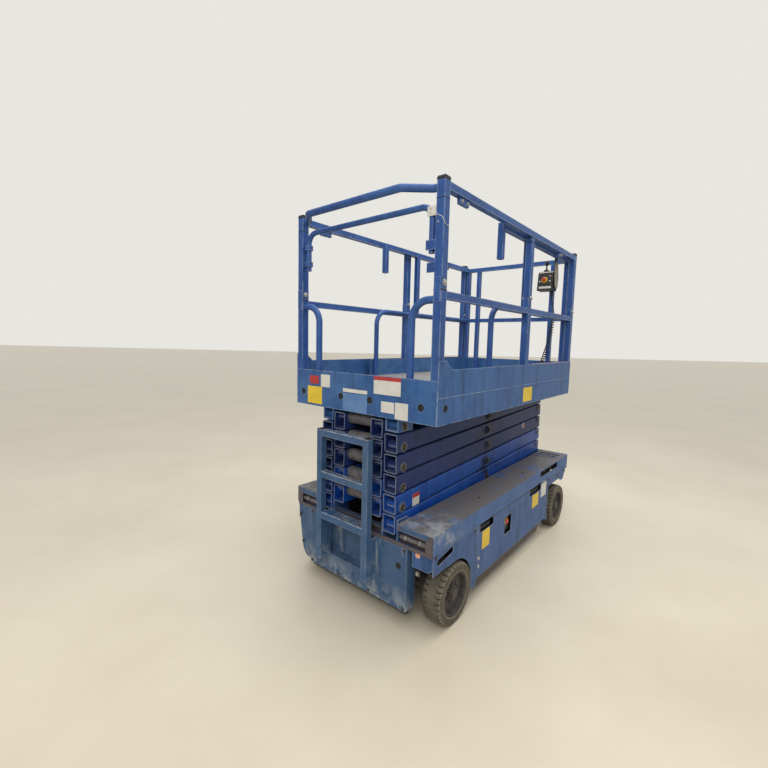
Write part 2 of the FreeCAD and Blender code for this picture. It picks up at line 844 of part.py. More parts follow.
def base_brackets():
    """Brackets at the rear that hold the lowest pins, one on each side."""
    inner_y = outer_arm_y - side_clearance - bracket_plate
    seat_z = beam_flange_z + beam_flange + seat_gap
    slope = bracket_foot_slope
    inner_top = base_pin_z + bracket_inner_rise
    outer_top = base_pin_z + bracket_outer_rise
    foot = [(bracket_rear_x, seat_z), (bracket_foot_x, seat_z), (bracket_foot_x, rail_bottom),
            (bracket_front_x, rail_bottom)]
    inner = outline_xz(foot + [(bracket_front_x, inner_top), (bracket_rear_x, inner_top)],
                       inner_y, inner_y + bracket_plate)
    outer_head = [(bracket_front_x, outer_top - slope), (bracket_front_x - slope, outer_top),
                  (bracket_rear_x, outer_top)]
    outer = outline_xz(foot + outer_head, web_y, web_y + bracket_plate)
    floor = box(bracket_foot_x, bracket_front_x, inner_y, web_y + bracket_plate, rail_bottom,
                rail_bottom + rail_flange)
    pin = rod_y(rear_pin_x, base_pin_z, inner_y, web_y + bracket_plate, pin_radius)
    return pair(fused([inner, outer, floor, pin]))


def cross_members():
    """Square tubes between the side rails, with a shorter one between the rear brackets."""
    solids = []
    z0 = rail_bottom + rail_flange + seat_gap
    half = cross_member_width / 2
    reach = web_y - seat_gap
    for x in cross_member_places:
        solids.append(tube_box(x - half, x + half, -reach, reach, z0, z0 + cross_member_height,
                               cross_member_wall, "y"))
    rear_reach = outer_arm_y - side_clearance - bracket_plate - seat_gap
    solids.append(tube_box(bracket_foot_x, bracket_foot_x + cross_member_width, -rear_reach, rear_reach, z0,
                           z0 + cross_member_height, cross_member_wall, "y"))
    return solids


def outriggers():
    """Tapered plates from the side rails out to the edge of the deck, with a round hole in each."""
    skin_y = skin_half_width - plate - side_clearance
    edge_y = deck_half_width - plate - seat_gap
    top = deck_underside - seat_gap
    hole_y = (deck_inner_y + edge_y) / 2
    hole_z = (skin_top + deck_underside) / 2
    solids = []
    for x in outrigger_places:
        behind_rail = x < bracket_front_x
        near_y = (web_y + bracket_plate if behind_rail else rail_far_y) + seat_gap
        low_z = (beam_flange_z + beam_flange if behind_rail else rail_bottom) + seat_gap
        wall_y = near_y if behind_rail else deck_inner_y + plate + seat_gap
        wall_z = slide_top - seat_gap
        tip_low = beam_flange_z + beam_flange + seat_gap
        tip_high = skin_top + seat_gap
        outline = [(near_y, low_z), (skin_y, tip_low), (skin_y, tip_high), (edge_y, tip_high), (edge_y, top),
                   (wall_y, top), (wall_y, wall_z), (near_y, wall_z)]
        wire = Part.makePolygon([Vector(x, y, z) for y, z in outline + outline[:1]])
        web = Part.Face(wire).extrude(Vector(outrigger_thickness, 0, 0))
        hole_start = Vector(x - outrigger_thickness, hole_y, hole_z)
        hole = Part.makeCylinder(outrigger_hole, 3 * outrigger_thickness, hole_start, Vector(1, 0, 0))
        solids += pair(web.cut(hole))
    return solids


def side_decks():
    """Folded deck ledges along both sides, with the slot in the side and the open front bay."""
    outer_y = deck_half_width
    top = box(deck_rear_x, deck_front_x, deck_inner_y, outer_y, deck_underside, deck_top)
    band = box(deck_rear_x, deck_front_x, outer_y - plate, outer_y, deck_top - deck_band, deck_top)
    inner = box(bracket_front_x + seat_gap, deck_front_x, deck_inner_y, deck_inner_y + plate,
                slide_top, deck_top)
    ledge = fused([top, band, inner])
    slot_start, slot_end = deck_side_slot_reach
    slot_low, slot_high = deck_side_slot_drop
    side_slot = box(front_axle_x - slot_start, front_axle_x - slot_end, outer_y - 2 * plate, outer_y + 1,
                    deck_top - slot_low, deck_top - slot_high)
    bay_start, bay_end = deck_bay_reach
    bay = box(front_axle_x - bay_start, front_axle_x + bay_end, deck_inner_y + deck_bay_inner_rim,
              outer_y - deck_bay_outer_rim, deck_underside - 1, deck_top + 1)
    return pair(ledge.cut(side_slot).cut(bay))


def deck_bars():
    """Bars across the open bays at the front of the side decks."""
    solids = []
    top = deck_top - deck_bar_drop
    for step in deck_bar_steps:
        x = front_axle_x - deck_bay_reach[0] + step
        solids += pair(tube_box(x, x + deck_bar_size, deck_inner_y + plate + seat_gap,
                                deck_half_width - plate - seat_gap, top - deck_bar_height, top, plate, "y"))
    return solids


def rear_beam():
    """The cross channel at the rear: it opens rearwards, and is low behind the outer arms."""
    x0 = deck_rear_x
    x1 = deck_rear_x + beam_depth
    z0 = beam_flange_z
    z1 = z0 + beam_flange
    reach = skin_half_width - plate - seat_gap
    shapes = [box(x0, x1, -reach, reach, z0, z1)]
    shapes.append(box(x0, x0 + beam_lip, -reach, reach, z1 - 1, z1 + beam_lip_rise))
    centre_top = deck_top - beam_centre_drop
    end_z = deck_top - beam_end_drop
    centre = inner_arm_y + arm_width - side_clearance / 2
    shapes.append(box(x1 - beam_lip, x1, -centre, centre, z1 - 1, centre_top))
    shapes.append(box(x0, x1, -centre, centre, centre_top - beam_lip, centre_top))
    web_near = web_y + bracket_plate + side_clearance
    for y0, y1 in ((web_near, reach), (-reach, -web_near)):
        shapes.append(box(x1 - beam_lip, x1, y0, y1, z1 - 1, deck_underside - seat_gap))
        shapes.append(box(x0, x0 + beam_lip, y0, y1, end_z, deck_underside - seat_gap))
        shapes.append(box(x0, x1, y0, y1, end_z, end_z + beam_lip))
    for side in (-1, 1):
        ys = sorted((side * reach, side * (reach - beam_end_width)))
        shapes.append(box(x0, x0 + beam_lip, ys[0], ys[1], z1 - 1, end_z + beam_lip))
    return fused(shapes)


def front_beam():
    """The folded front cross member with its bumper plate."""
    x0 = deck_front_x + seat_gap
    x1 = bumper_front_x - plate
    half = deck_half_width
    low = deck_top - front_beam_drop
    toe = low + bumper_foot_rise
    top = box(x0, x1, -half, half, deck_underside, deck_top)
    back = box(x0, x0 + plate, -half, half, low, deck_top)
    face = box(x1 - plate, x1, -half, half, deck_top - bumper_face_drop, deck_top)
    foot_y = half - bumper_foot_inset
    foot_outline = [(x0, low), (bumper_front_x, toe), (bumper_front_x, toe + bumper_foot),
                    (x0, low + bumper_foot)]
    foot = outline_xz(foot_outline, -foot_y, foot_y)
    gusset_low = deck_top - gusset_drop
    gusset_places = (-half, -gusset_y, gusset_y - gusset_thickness, half - gusset_thickness)
    gussets = [box(x0, x1, y, y + gusset_thickness, gusset_low, deck_top) for y in gusset_places]
    beam = fused([top, back, face, foot] + gussets)
    tie_x = (x0 + x1) / 2
    tie_z = deck_top - tie_down_drop
    depth = gusset_thickness + 1
    for y in (-half, half):
        beam = beam.cut(rod_y(tie_x, tie_z, y - depth, y + depth, tie_down_radius))
    return beam


def rear_fenders():
    """Rear side skins with the wheel arch, the slot above it and a rounded rear return."""
    y0 = skin_half_width - plate
    y1 = skin_half_width
    skin = box(fender_rear_x, fender_front_x, y0, y1, skin_bottom, skin_top)
    arch = rod_y(rear_axle_x, tyre_radius, y0 - 1, y1 + 1, arch_radius)
    tail = box(fender_rear_x - 1, rear_axle_x, y0 - 1, y1 + 1, skin_bottom - 1, fender_tail_z - arch_tail_lap)
    below = box(fender_rear_x - 1, rear_axle_x + arch_radius, y0 - 1, y1 + 1, skin_bottom - 1, tyre_radius)
    skin = skin.cut(arch).cut(tail).cut(below)
    half = fender_slot_radius
    (ax, az), (bx, bz) = [(fender_rear_x + step, skin_top - drop) for step, drop in fender_slot_ends]
    slot = fused([rod_y(x, z, y0 - 1, y1 + 1, half) for x, z in ((ax, az), (bx, bz))])
    slot_body = outline_xz([(ax, az - half), (bx, bz - half), (bx, bz + half), (ax, az + half)], y0 - 1, y1 + 1)
    skin = skin.cut(slot).cut(slot_body)
    tail_return = box(fender_rear_x, fender_rear_x + plate, panel_left_y + 3, y1, fender_tail_z,
                      beam_flange_z - seat_gap)
    lower = [edge for edge in tail_return.Edges
             if abs(edge.CenterOfMass.y - y1) < 1 and abs(edge.CenterOfMass.z - fender_tail_z) < 1]
    tail_return = tail_return.makeFillet(fender_corner, lower)
    return pair(fused([skin, tail_return]))


def front_sides():
    """Front side skins above the steered wheels, with the pillar beside the door."""
    y0 = skin_half_width - plate
    y1 = skin_half_width
    rear_x = pillar_front_x + seat_gap
    lower = [(front_axle_x + step, skin_top - drop) for step, drop in front_skin_steps]
    skin = outline_xz([(rear_x, skin_top), (rear_x, valance_bottom)] + lower +
                      [(deck_front_x, skin_top - front_skin_end_drop), (deck_front_x, skin_top)], y0, y1)
    pillar_y = y1 - pillar_depth
    pillar = box(pillar_rear_x, pillar_front_x, pillar_y, y1, pillar_bottom, skin_top)
    hollow = box(pillar_rear_x - 1, pillar_front_x - plate, pillar_y - 1, y0, pillar_bottom - 1,
                 valance_bottom - pillar_depth)
    return pair(skin) + pair(pillar.cut(hollow))


def door_skin():
    """The left side door: a folded panel with two hand notches and a button window."""
    y0 = skin_half_width - plate
    y1 = skin_half_width
    skin = box(door_rear_x, door_front_x, y0, y1, door_bottom, door_top)
    inside = y1 - door_flange
    skin = fused([skin, box(door_rear_x, door_front_x, inside, y1, door_bottom, door_bottom + plate),
                  box(door_rear_x, door_rear_x + plate, inside, y1, door_bottom, door_top)])
    rear_start, rear_end = rear_notch
    front_start, front_end = front_notch
    for x0, x1 in ((door_rear_x + rear_start, door_rear_x + rear_end),
                   (door_front_x - front_start, door_front_x - front_end)):
        skin = skin.cut(box(x0, x1, inside - 1, y1 + 1, door_top - notch_depth, door_top + 1))
    x0, x1, z0, z1 = button_window
    skin = skin.cut(box(x0, x1, inside - 1, y1 + 1, z0, z1))
    shapes = [skin]
    strap_x = door_front_x - hinge_strap
    half = hinge_strap_thickness / 2
    for z in hinge_heights:
        top = z + hinge_eye_height
        shapes.append(rod_z(hinge_x, hinge_y, z, top, hinge_eye_radius))
        shapes.append(box(strap_x, hinge_x, hinge_y - half, hinge_y + half, z, top))
        shapes.append(box(strap_x, strap_x + hinge_strap_thickness, hinge_y - half, y0 + 1, z, top))
    whole = fused(shapes)
    return whole.cut(rod_z(hinge_x, hinge_y, door_bottom, door_top, hinge_pin_radius + pin_clearance))


def door_hinges():
    """Hinge pins of the side doors, each on two small brackets of the pillar."""
    solids = []
    ear_x = pillar_rear_x - seat_gap
    ear_half = hinge_pin_radius + 1
    for z in hinge_heights:
        low = z - hinge_bracket - hinge_bracket_gap
        high = z + hinge_eye_height + hinge_bracket + hinge_bracket_gap
        shapes = [rod_z(hinge_x, hinge_y, low, high, hinge_pin_radius)]
        for z0 in (low, high - hinge_bracket):
            shapes.append(box(hinge_x - ear_half, ear_x, hinge_y - ear_half, hinge_y + hinge_pin_radius, z0,
                              z0 + hinge_bracket))
        solids += pair(fused(shapes))
    return solids


def battery_boxes():
    """Closed battery boxes on the belly pan, behind the doors."""
    z0 = pan_z + pan_thickness + seat_gap
    y0 = rail_far_y + battery_side_gap
    y1 = skin_half_width - door_flange - battery_door_gap
    boxes = box(wall_rear_x + battery_end_inset, wall_front_x - battery_front_inset, y0, y1, z0, battery_top)
    lid = [edge for edge in boxes.Edges if abs(edge.CenterOfMass.z - battery_top) < 1]
    return pair(boxes.makeChamfer(battery_chamfer, lid))


def belly_pan():
    """The floor plate under the batteries, with turned-down pothole bars on both sides."""
    half = skin_half_width - door_flange - side_clearance
    floor = box(wall_rear_x, wall_front_x, -half, half, pan_z, pan_z + pan_thickness)
    x0 = wall_rear_x + pothole_bar_inset
    x1 = wall_front_x - pothole_bar_inset
    slope = pothole_bar_slope
    low = pothole_bar_bottom
    outline = [(x0, pan_z + 1), (x0 + slope, low), (x1 - slope, low), (x1, pan_z + 1)]
    bars = [outline_xz(outline, y, y + pothole_bar) for y in (-half, half - pothole_bar)]
    return fused([floor] + bars)


def rear_panel():
    """The folded rear cover with the foot recess pressed into it."""
    x0 = panel_rear_x
    x1 = panel_rear_x + panel_depth
    top = beam_flange_z - seat_gap
    cover = box(x0, x1, panel_right_y, panel_left_y, panel_bottom, top)
    cover = cover.cut(box(x0 + plate, x1 + 1, panel_right_y + plate, panel_left_y - plate, panel_bottom + plate,
                          top - plate))
    back = x1 - recess_back_gap
    pocket = box(x0, back, recess_right_y, recess_left_y, recess_bottom, recess_top)
    inner = box(x0 - 1, back - plate, recess_right_y + plate, recess_left_y - plate, recess_bottom + plate,
                recess_top - plate)
    return fused([cover, pocket]).cut(inner)


def ladder():
    """The boarding ladder: two box stiles, two tube rungs and a deep step over the rear beam."""
    x0 = ladder_rear_x
    x1 = x0 + stile_depth
    low_x = panel_rear_x - seat_gap
    web_top = beam_flange_z - side_clearance
    ladder_top = deck_top + rung_rises[0]
    solids = []
    for y0 in (ladder_right_y, ladder_left_y - stile_width):
        stile = tube_box(x0, x1, y0, y0 + stile_width, ladder_bottom, ladder_top, stile_wall, "z")
        cap = box(x0, x1, y0, y0 + stile_width, ladder_top - stile_wall, ladder_top)
        y1 = y0 + stile_width
        near = box(x1 - stile_wall, low_x, y0, y0 + stile_wall, ladder_bottom, web_top)
        far = box(x1 - stile_wall, low_x, y1 - stile_wall, y1, ladder_bottom, web_top)
        solids.append(fused([stile, cap, near, far]))
    y0 = ladder_right_y + stile_width + seat_gap
    y1 = ladder_left_y - stile_width - seat_gap
    for rise in rung_rises:
        top = deck_top + rise
        solids.append(tube_box(x0, x1, y0, y1, top - rung_height, top, plate, "y"))
    tread = box(x0, step_front_x, y0, y1, step_top - step_height, step_top)
    under = box(x0 + plate, step_front_x - plate, y0 - 1, y1 + 1, step_top - step_height - 1, step_top - plate)
    arm_notch = box(x1, step_front_x + 1, step_notch_y, y1 + 1, step_top - step_height - 1, step_top + 1)
    solids.append(tread.cut(under).cut(arm_notch))
    return solids


def write_chassis():
    """Everything that stays on the axles."""
    write("frame_rails", frame_rails())
    write("base_brackets", base_brackets())
    write("cross_members", cross_members() + outriggers())
    write("side_decks", side_decks() + deck_bars())
    write("rear_beam", [rear_beam()])
    write("front_beam", [front_beam()])
    write("rear_fenders", rear_fenders())
    write("front_sides", front_sides() + door_hinges())
    door = door_skin()
    write("side_door_left", [door])
    write("side_door_right", [mirrored(door)])
    write("battery_boxes", battery_boxes())
    write("belly_pan", [belly_pan()])
    write("rear_panel", [rear_panel()])
    write("ladder", ladder())
    write("rear_axle", rear_axle())
    write("kingpin_carriers", kingpin_carriers())
    left = knuckle()
    write("knuckle_left", [left])
    write("knuckle_right", [mirrored(left)])
    write("tie_rod", [tie_rod()])


# Platform

def platform_tracks():
    """Beams under the floor: roller tracks over the inner arms, pivot boxes at the rear outer pins."""
    track = tube_box(bracket_front_x + seat_gap, platform_front_x, inner_arm_y, inner_arm_far,
                     track_z, track_top, track_wall, "x")
    bracket = tube_box(platform_rear_x + entry_lip + seat_gap, bracket_front_x, outer_arm_y, outer_arm_far,
                       top_pin_z - pivot_bracket_drop, track_top, track_wall, "x")
    boss = rod_y(rear_pin_x, top_pin_z, outer_arm_y, outer_arm_far, pin_radius + pivot_boss_wall)
    bore = rod_y(rear_pin_x, top_pin_z, outer_arm_y - 1, outer_arm_far + 1, pin_radius + pin_clearance)
    bracket = fused([bracket, boss]).cut(bore)
    return pair(track) + pair(bracket)


def floor_joists():
    """Cross tubes between the beams and the floor."""
    half = joist_width / 2
    reach = platform_half_width - plate - seat_gap
    z0 = track_top + seat_gap
    z1 = z0 + joist_height
    first = platform_rear_x + joist_end_inset
    pitch = (platform_front_x - joist_end_inset - first) / (joist_count - 1)
    places = [first + pitch * number for number in range(joist_count)]
    return [tube_box(x - half, x + half, -reach, reach, z0, z1, joist_wall, "y") for x in places]


def platform_floor():
    """The main floor plate."""
    reach = platform_half_width - plate - seat_gap
    return box(platform_rear_x + plate + seat_gap, platform_front_x, -reach, reach, floor_z - floor_thickness,
               floor_z)


def side_panels():
    """Side skirts with the toe board above the floor and a turned-in lower edge."""
    y0 = platform_half_width - plate
    y1 = platform_half_width
    skirt = box(platform_rear_x, platform_front_x, y0, y1, skirt_bottom, toe_top)
    skirt = skirt.cut(box(platform_rear_x - 1, toe_rear_x, y0 - 1, y1 + 1, entry_panel_top, toe_top + 1))
    lip = box(platform_rear_x + plate + seat_gap, platform_front_x, y1 - skirt_lip, y1, skirt_bottom,
              skirt_bottom + plate)
    hole_x = platform_rear_x + side_hole_inset
    hole = rod_y(hole_x, floor_z - panel_hole_drop, y0 - 1, y1 + 1, panel_hole_radius)
    return pair(fused([skirt, lip]).cut(hole))


def corner_plates():
    """Upright plates that tie each rear post to its toe board."""
    y1 = platform_half_width
    y0 = y1 - plate
    low = entry_panel_top + seat_gap
    front = toe_rear_x - seat_gap
    outline = [(platform_rear_x, low), (front, low), (front, toe_top), (front - corner_slope, corner_top),
               (platform_rear_x, corner_top)]
    return pair(outline_xz(outline, y0, y1))


def entry_panel():
    """The rear skirt under the entry, with its four round holes."""
    x0 = platform_rear_x
    reach = platform_half_width - plate - seat_gap
    skirt = box(x0, x0 + plate, -reach, reach, skirt_bottom, entry_panel_top)
    for y in panel_hole_places:
        centre = Vector(x0 - plate, y, floor_z - panel_hole_drop)
        hole = Part.makeCylinder(panel_hole_radius, 3 * plate, centre, Vector(1, 0, 0))
        skirt = skirt.cut(hole)
    lip_reach = platform_half_width - skirt_lip - seat_gap
    lip = box(x0, x0 + entry_lip, -lip_reach, lip_reach, skirt_bottom, skirt_bottom + plate)
    return fused([skirt, lip])


def square_post(x, y, z0, z1, size, wall):
    """An upright square tube."""
    half = size / 2
    return tube_box(x - half, x + half, y - half, y + half, z0, z1, wall, "z")


def lower_posts():
    """Fixed lower posts; the corner ones carry the fold ears of the upper frames."""
    solids = []
    z0 = floor_z + seat_gap
    ear_low = lower_post_top - ear_height / 2
    for x in (rear_post_x, front_post_x):
        post = square_post(x, post_y, z0, lower_post_top, post_size, post_wall)
        ears = []
        for side in (-1, 1):
            edge = x + side * (post_size / 2 + ear_thickness / 2)
            ears.append(box(edge - ear_thickness / 2, edge + ear_thickness / 2, post_y - ear_width / 2,
                            post_y + ear_width / 2, ear_low, ear_low + ear_height))
        solids += pair(fused([post] + ears))
    middle_top = mid_rail_z - rail_size / 2 - seat_gap
    solids += pair(square_post(middle_post_x, post_y, z0, middle_top, post_size, post_wall))
    return solids


def mid_rails():
    """Middle rails between the corner posts, with ears for the middle upper post."""
    half = rail_size / 2
    x0 = rear_post_x + post_size / 2 + ear_thickness + seat_gap
    x1 = front_post_x - post_size / 2 - ear_thickness - seat_gap
    rail = tube_box(x0, x1, post_y - half, post_y + half, mid_rail_z - half, mid_rail_z + half, rail_wall, "x")
    ears = []
    for side in (-1, 1):
        edge = middle_post_x + side * (post_size / 2 + ear_thickness / 2 + seat_gap)
        ears.append(box(edge - ear_thickness / 2, edge + ear_thickness / 2, post_y - half, post_y + half,
                        mid_rail_z + half - 1, mid_rail_z + half + middle_ear_height))
    return pair(fused([rail] + ears))


def upper_frames():
    """Upper side frames: two corner posts, the middle post and the top rail."""
    half = rail_size / 2
    solids = []
    z0 = lower_post_top + fold_gap
    for x in (rear_post_x, front_post_x):
        solids += pair(square_post(x, post_y, z0, post_top, post_size - 2 * seat_gap, post_wall))
    x0 = rear_post_x + post_size / 2 + seat_gap
    x1 = front_post_x - post_size / 2 - seat_gap
    solids += pair(tube_box(x0, x1, post_y - half, post_y + half, top_rail_z - half, top_rail_z + half,
                            rail_wall, "x"))
    solids += pair(square_post(middle_post_x, post_y, mid_rail_z + half + fold_gap,
                               top_rail_z - half - seat_gap, post_size - middle_post_slack, post_wall))
    return solids


def entry_rail():
    """The bowed round rail over the entry."""
    start_y = post_inner_y - seat_gap
    z = top_rail_z - bow_drop
    bow_x = platform_rear_x - bow_reach
    bow_y = start_y - bow_inset - bow_shoulder
    left = [Vector(rear_post_x, start_y, z), Vector(rear_post_x, start_y - bow_straight, z),
            Vector(bow_x, bow_y, z)]
    right = [Vector(point.x, -point.y, point.z) for point in reversed(left)]
    return bent_tube(left + right, bow_bend, rail_tube_radius)


def grab_tubes():
    """Quarter-bend grab tubes on both sides of the entry."""
    z0 = entry_panel_top - grab_foot_drop
    x = platform_rear_x + plate + seat_gap + rail_tube_radius
    start_y = post_inner_y - seat_gap
    grab_y = start_y - grab_inset
    z1 = mid_rail_z - grab_top_drop
    points = [Vector(x, start_y, z1), Vector(x, grab_y, z1), Vector(x, grab_y, z0)]
    return pair(bent_tube(points, grab_bend, rail_tube_radius))


def gate_hinge_plates():
    """Hinge brackets of the entry gate on the left post, and the stop on the right post."""
    face_y = post_inner_y - seat_gap
    arm_half_width = gate_hinge_arm / 2
    solids = []
    for drop in gate_hinge_drops:
        low = gate_top_z - drop - gate_hinge_height / 2
        high = low + gate_hinge_height
        arm = box(rear_post_x - arm_half_width, rear_post_x + arm_half_width, gate_pivot_y, face_y, low, high)
        eye = rod_z(rear_post_x, gate_pivot_y, low, high, gate_tube_radius + gate_eye_wall)
        bore = rod_z(rear_post_x, gate_pivot_y, low - 1, high + 1, gate_tube_radius + pin_clearance)
        solids.append(fused([arm, eye]).cut(bore))
    stop_x = rear_post_x - gate_tube_radius - seat_gap
    stop_low = gate_top_z - gate_stop_drop - gate_stop_size / 2
    solids.append(box(stop_x - gate_stop_plate, stop_x, -face_y, -gate_pivot_y + gate_stop_lap, stop_low,
                      stop_low + gate_stop_size))
    return solids


def entry_gate():
    """The entry gate: one round tube bent to an upside-down U."""
    x = rear_post_x
    points = [Vector(x, gate_pivot_y, gate_bottom_z), Vector(x, gate_pivot_y, gate_top_z),
              Vector(x, -gate_pivot_y, gate_top_z), Vector(x, -gate_pivot_y, gate_bottom_z)]
    return bent_tube(points, gate_bend, gate_tube_radius)


def write_platform():
    """The raised platform with its fixed and folded-up guard rails."""
    write("platform_tracks", platform_tracks())
    write("floor_joists", floor_joists())
    write("platform_floor", [platform_floor()])
    write("side_panels", side_panels() + corner_plates())
    write("entry_panel", [entry_panel()])
    write("lower_posts", lower_posts())
    write("mid_rails", mid_rails())
    write("upper_frames", upper_frames())
    write("entry_rail", [entry_rail()])
    write("grab_tubes", grab_tubes())
    write("gate_hinges", gate_hinge_plates())
    write("entry_gate", [entry_gate()])


# Roll-out deck

def extension_floor():
    """The roll-out floor with its side toe boards and front panel."""
    half = extension_half_width
    nose = extension_nose_x
    floor = box(extension_rear_x, nose, -half, half, extension_floor_z - floor_thickness, extension_floor_z)
    shapes = [floor]
    for y in (-half, half - plate):
        shapes.append(box(extension_rear_x, nose, y, y + plate, extension_floor_z - 1, extension_toe_top))
    shapes.append(box(nose - plate, nose, -half, half, floor_z + seat_gap, extension_toe_top))
    return fused(shapes)


def extension_glides():
    """Glide strips that carry the roll-out floor on the main floor."""
    z0 = floor_z + seat_gap
    z1 = extension_floor_z - floor_thickness - seat_gap
    y1 = extension_half_width - glide_side_inset
    x0 = extension_rear_x + glide_rear_inset
    x1 = extension_nose_x - glide_front_inset
    return pair(box(x0, x1, y1 - glide_width, y1, z0, z1))


def extension_rails():
    """Guard rails of the roll-out deck, inside the main ones."""
    y = extension_post_y
    half = extension_post / 2
    z0 = extension_floor_z + seat_gap
    nose_x = extension_nose_x - plate - seat_gap - half
    top = extension_rail_z
    solids = []
    leg_x = extension_leg_x
    side_rail_rear = leg_x + half + seat_gap
    rear_leg = square_post(leg_x, y, top - extension_leg_drop, top + half, extension_post, rail_wall)
    solids += pair(rear_leg)
    corner_top = top + half
    solids += pair(square_post(nose_x, y, z0, corner_top, extension_post, rail_wall))
    side_front = nose_x - half - seat_gap
    side_rail = tube_box(side_rail_rear, side_front, y - half, y + half, top - half, top + half, rail_wall, "x")
    solids += pair(side_rail)
    mid = mid_rail_z
    solids += pair(square_post(extension_middle_post_x, y, mid + half + seat_gap, top - half - seat_gap,
                               extension_post, rail_wall))
    front_y = y - half - seat_gap
    for z in (mid, top):
        solids.append(tube_box(nose_x - half, nose_x + half, -front_y, front_y, z - half, z + half, rail_wall,
                               "y"))
    gap = half + seat_gap
    inner_post_y = y - extension_front_post_inset
    for low, high in ((z0, mid - gap), (mid + gap, top - gap)):
        solids += pair(square_post(nose_x, inner_post_y, low, high, extension_post, rail_wall))
    return solids


def extension_side_tubes():
    """Side mid tubes of the roll-out deck: from the front post back, then bent down to the floor."""
    y = extension_post_y
    nose_x = extension_nose_x - plate - seat_gap - extension_post
    leg_x = extension_rear_x + extension_tube_leg_inset
    points = [Vector(nose_x - seat_gap, y, mid_rail_z), Vector(leg_x, y, mid_rail_z),
              Vector(leg_x, y, extension_floor_z + seat_gap)]
    return pair(bent_tube(points, extension_tube_bend, extension_post / 2))


def control_box():
    """The control box with its leaning rear face and the cable gland below."""
    near = control_near_y
    x0 = control_rear_x
    x1 = x0 + control_depth
    z0 = control_bottom
    z1 = z0 + control_height
    body = outline_xz([(x0, z0), (x1, z0), (x1, z1), (x0 + control_slope, z1)], near, near + control_width)
    gland = rod_z(lead_exit.x, lead_exit.y, lead_exit.z, z0 + 1, gland_radius)
    return fused([body, gland])


def control_hanger():
    """The hook plate that holds the control box on the right top rail."""
    y1 = control_near_y - seat_gap
    middle = control_rear_x + control_depth / 2
    x0 = middle - hanger_width / 2
    x1 = middle + hanger_width / 2
    top = extension_rail_z + extension_post / 2 + seat_gap
    back = box(x0, x1, y1 - hanger_plate, y1, control_bottom + control_height - hanger_lap, top + hanger_plate)
    over = box(x0, x1, -extension_post_y - extension_post / 2, y1, top, top + hanger_plate)
    return fused([back, over])


# Lead of the control box

curl_top = lead_exit + Vector(*curl_top_step)
curl_points = [curl_top + Vector(*step) for step in curl_steps]
curl_end = curl_points[-1]
curl_start = (curl_points[0] - curl_points[1]) * curl_lead_in
lead_points = [lead_exit + Vector(*step) for step in lead_steps] + [curl_top + curl_start, curl_top]


def lead_socket():
    """The socket on the roll-out deck that takes the curly lead."""
    run = (curl_end - curl_points[-2]).normalize()
    inner = curl_end + run * socket_length
    gland = Part.makeCylinder(socket_radius, socket_length, curl_end, run)
    half = socket_half
    block = box(inner.x - 2 * half, inner.x + socket_lap, inner.y - half, inner.y + half,
                extension_floor_z + seat_gap, inner.z + socket_radius)
    return fused([block, gland])


def free_tube(points, radius, label):
    """A plain tube along a route, each bend as large as its two runs allow."""
    bends = []
    for before, corner, after in zip(points, points[1:], points[2:]):
        into = corner - before
        away = after - corner
        shorter = min(into.Length, away.Length)
        bends.append(bend_share * shorter / math.tan(into.getAngle(away) / 2))
    wire = bent_path(points, bends)
    section = Part.Wire([Part.Circle(points[0], points[1] - points[0], radius).toShape()])
    tube = wire.makePipeShell([section], True, False)
    print(label, "bends", [round(bend) for bend in bends], "length", round(wire.Length),
          "volume ratio", round(tube.Volume / (math.pi * radius ** 2 * wire.Length), 4))
    return tube


def write_extension():
    """The roll-out deck with its rails, control box and curly lead."""
    write("extension_floor", [extension_floor()] + extension_glides() + [lead_socket()])
    write("extension_rails", extension_rails())
    write("extension_side_tubes", extension_side_tubes())
    write("control_box", [control_box(), control_hanger()])
    write("lead_thin", [free_tube(lead_points, lead_radius, "lead")])
    write("lead_curl", [free_tube(curl_points, curl_radius, "curl")])


write_wheels()
write_chassis()
write_scissor()
write_cylinders()
write_platform()
write_extension()
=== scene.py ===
# %% [markdown]
# # An electric scissor lift, dressed for its portrait
# The machine comes out of CAD with every arm, post and panel in its right place. What is missing is the
# life of it: blue paint rubbed thin on the edges, dust on the ledges, tyres with lugs, bolts, blank plates
# and the curly lead of the control box. Each step below adds one of those, and says why it is made that way.

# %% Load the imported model
import json
import math
import random

import bmesh
import bpy
from mathutils import Matrix, Vector


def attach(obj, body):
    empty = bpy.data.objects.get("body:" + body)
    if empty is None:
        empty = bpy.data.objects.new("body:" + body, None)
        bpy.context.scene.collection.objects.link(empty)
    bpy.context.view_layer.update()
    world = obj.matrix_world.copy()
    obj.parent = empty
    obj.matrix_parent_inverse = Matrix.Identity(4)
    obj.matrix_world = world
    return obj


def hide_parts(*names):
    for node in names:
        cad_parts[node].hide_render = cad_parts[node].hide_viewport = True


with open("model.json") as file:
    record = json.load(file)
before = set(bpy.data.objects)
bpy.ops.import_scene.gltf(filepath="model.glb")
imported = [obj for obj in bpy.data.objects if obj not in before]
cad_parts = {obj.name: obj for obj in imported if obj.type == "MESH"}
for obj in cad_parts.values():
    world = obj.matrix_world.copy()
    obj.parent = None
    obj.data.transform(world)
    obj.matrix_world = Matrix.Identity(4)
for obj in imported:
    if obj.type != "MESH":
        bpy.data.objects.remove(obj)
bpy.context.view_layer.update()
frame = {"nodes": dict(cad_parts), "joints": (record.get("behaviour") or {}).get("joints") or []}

nodes = frame["nodes"]
random.seed(17)

# %% [markdown]
# ## Places that the CAD gives
# Bolts, plates and rings are fixed to walls and pins, so those places are read from the model and not
# written a second time: a wall is one side of a part's box, and a pin is the place of its joint. Whatever
# lies on a wall stands off it by a hair, because two surfaces in one plane flicker.

# %% Read the walls and the pins
LEFT, RIGHT = 1, -1
SIDES = (("left", LEFT), ("right", RIGHT))
hair = 0.0002
places = {joint["name"]: Vector(joint["pos_m"]) for joint in frame["joints"]}


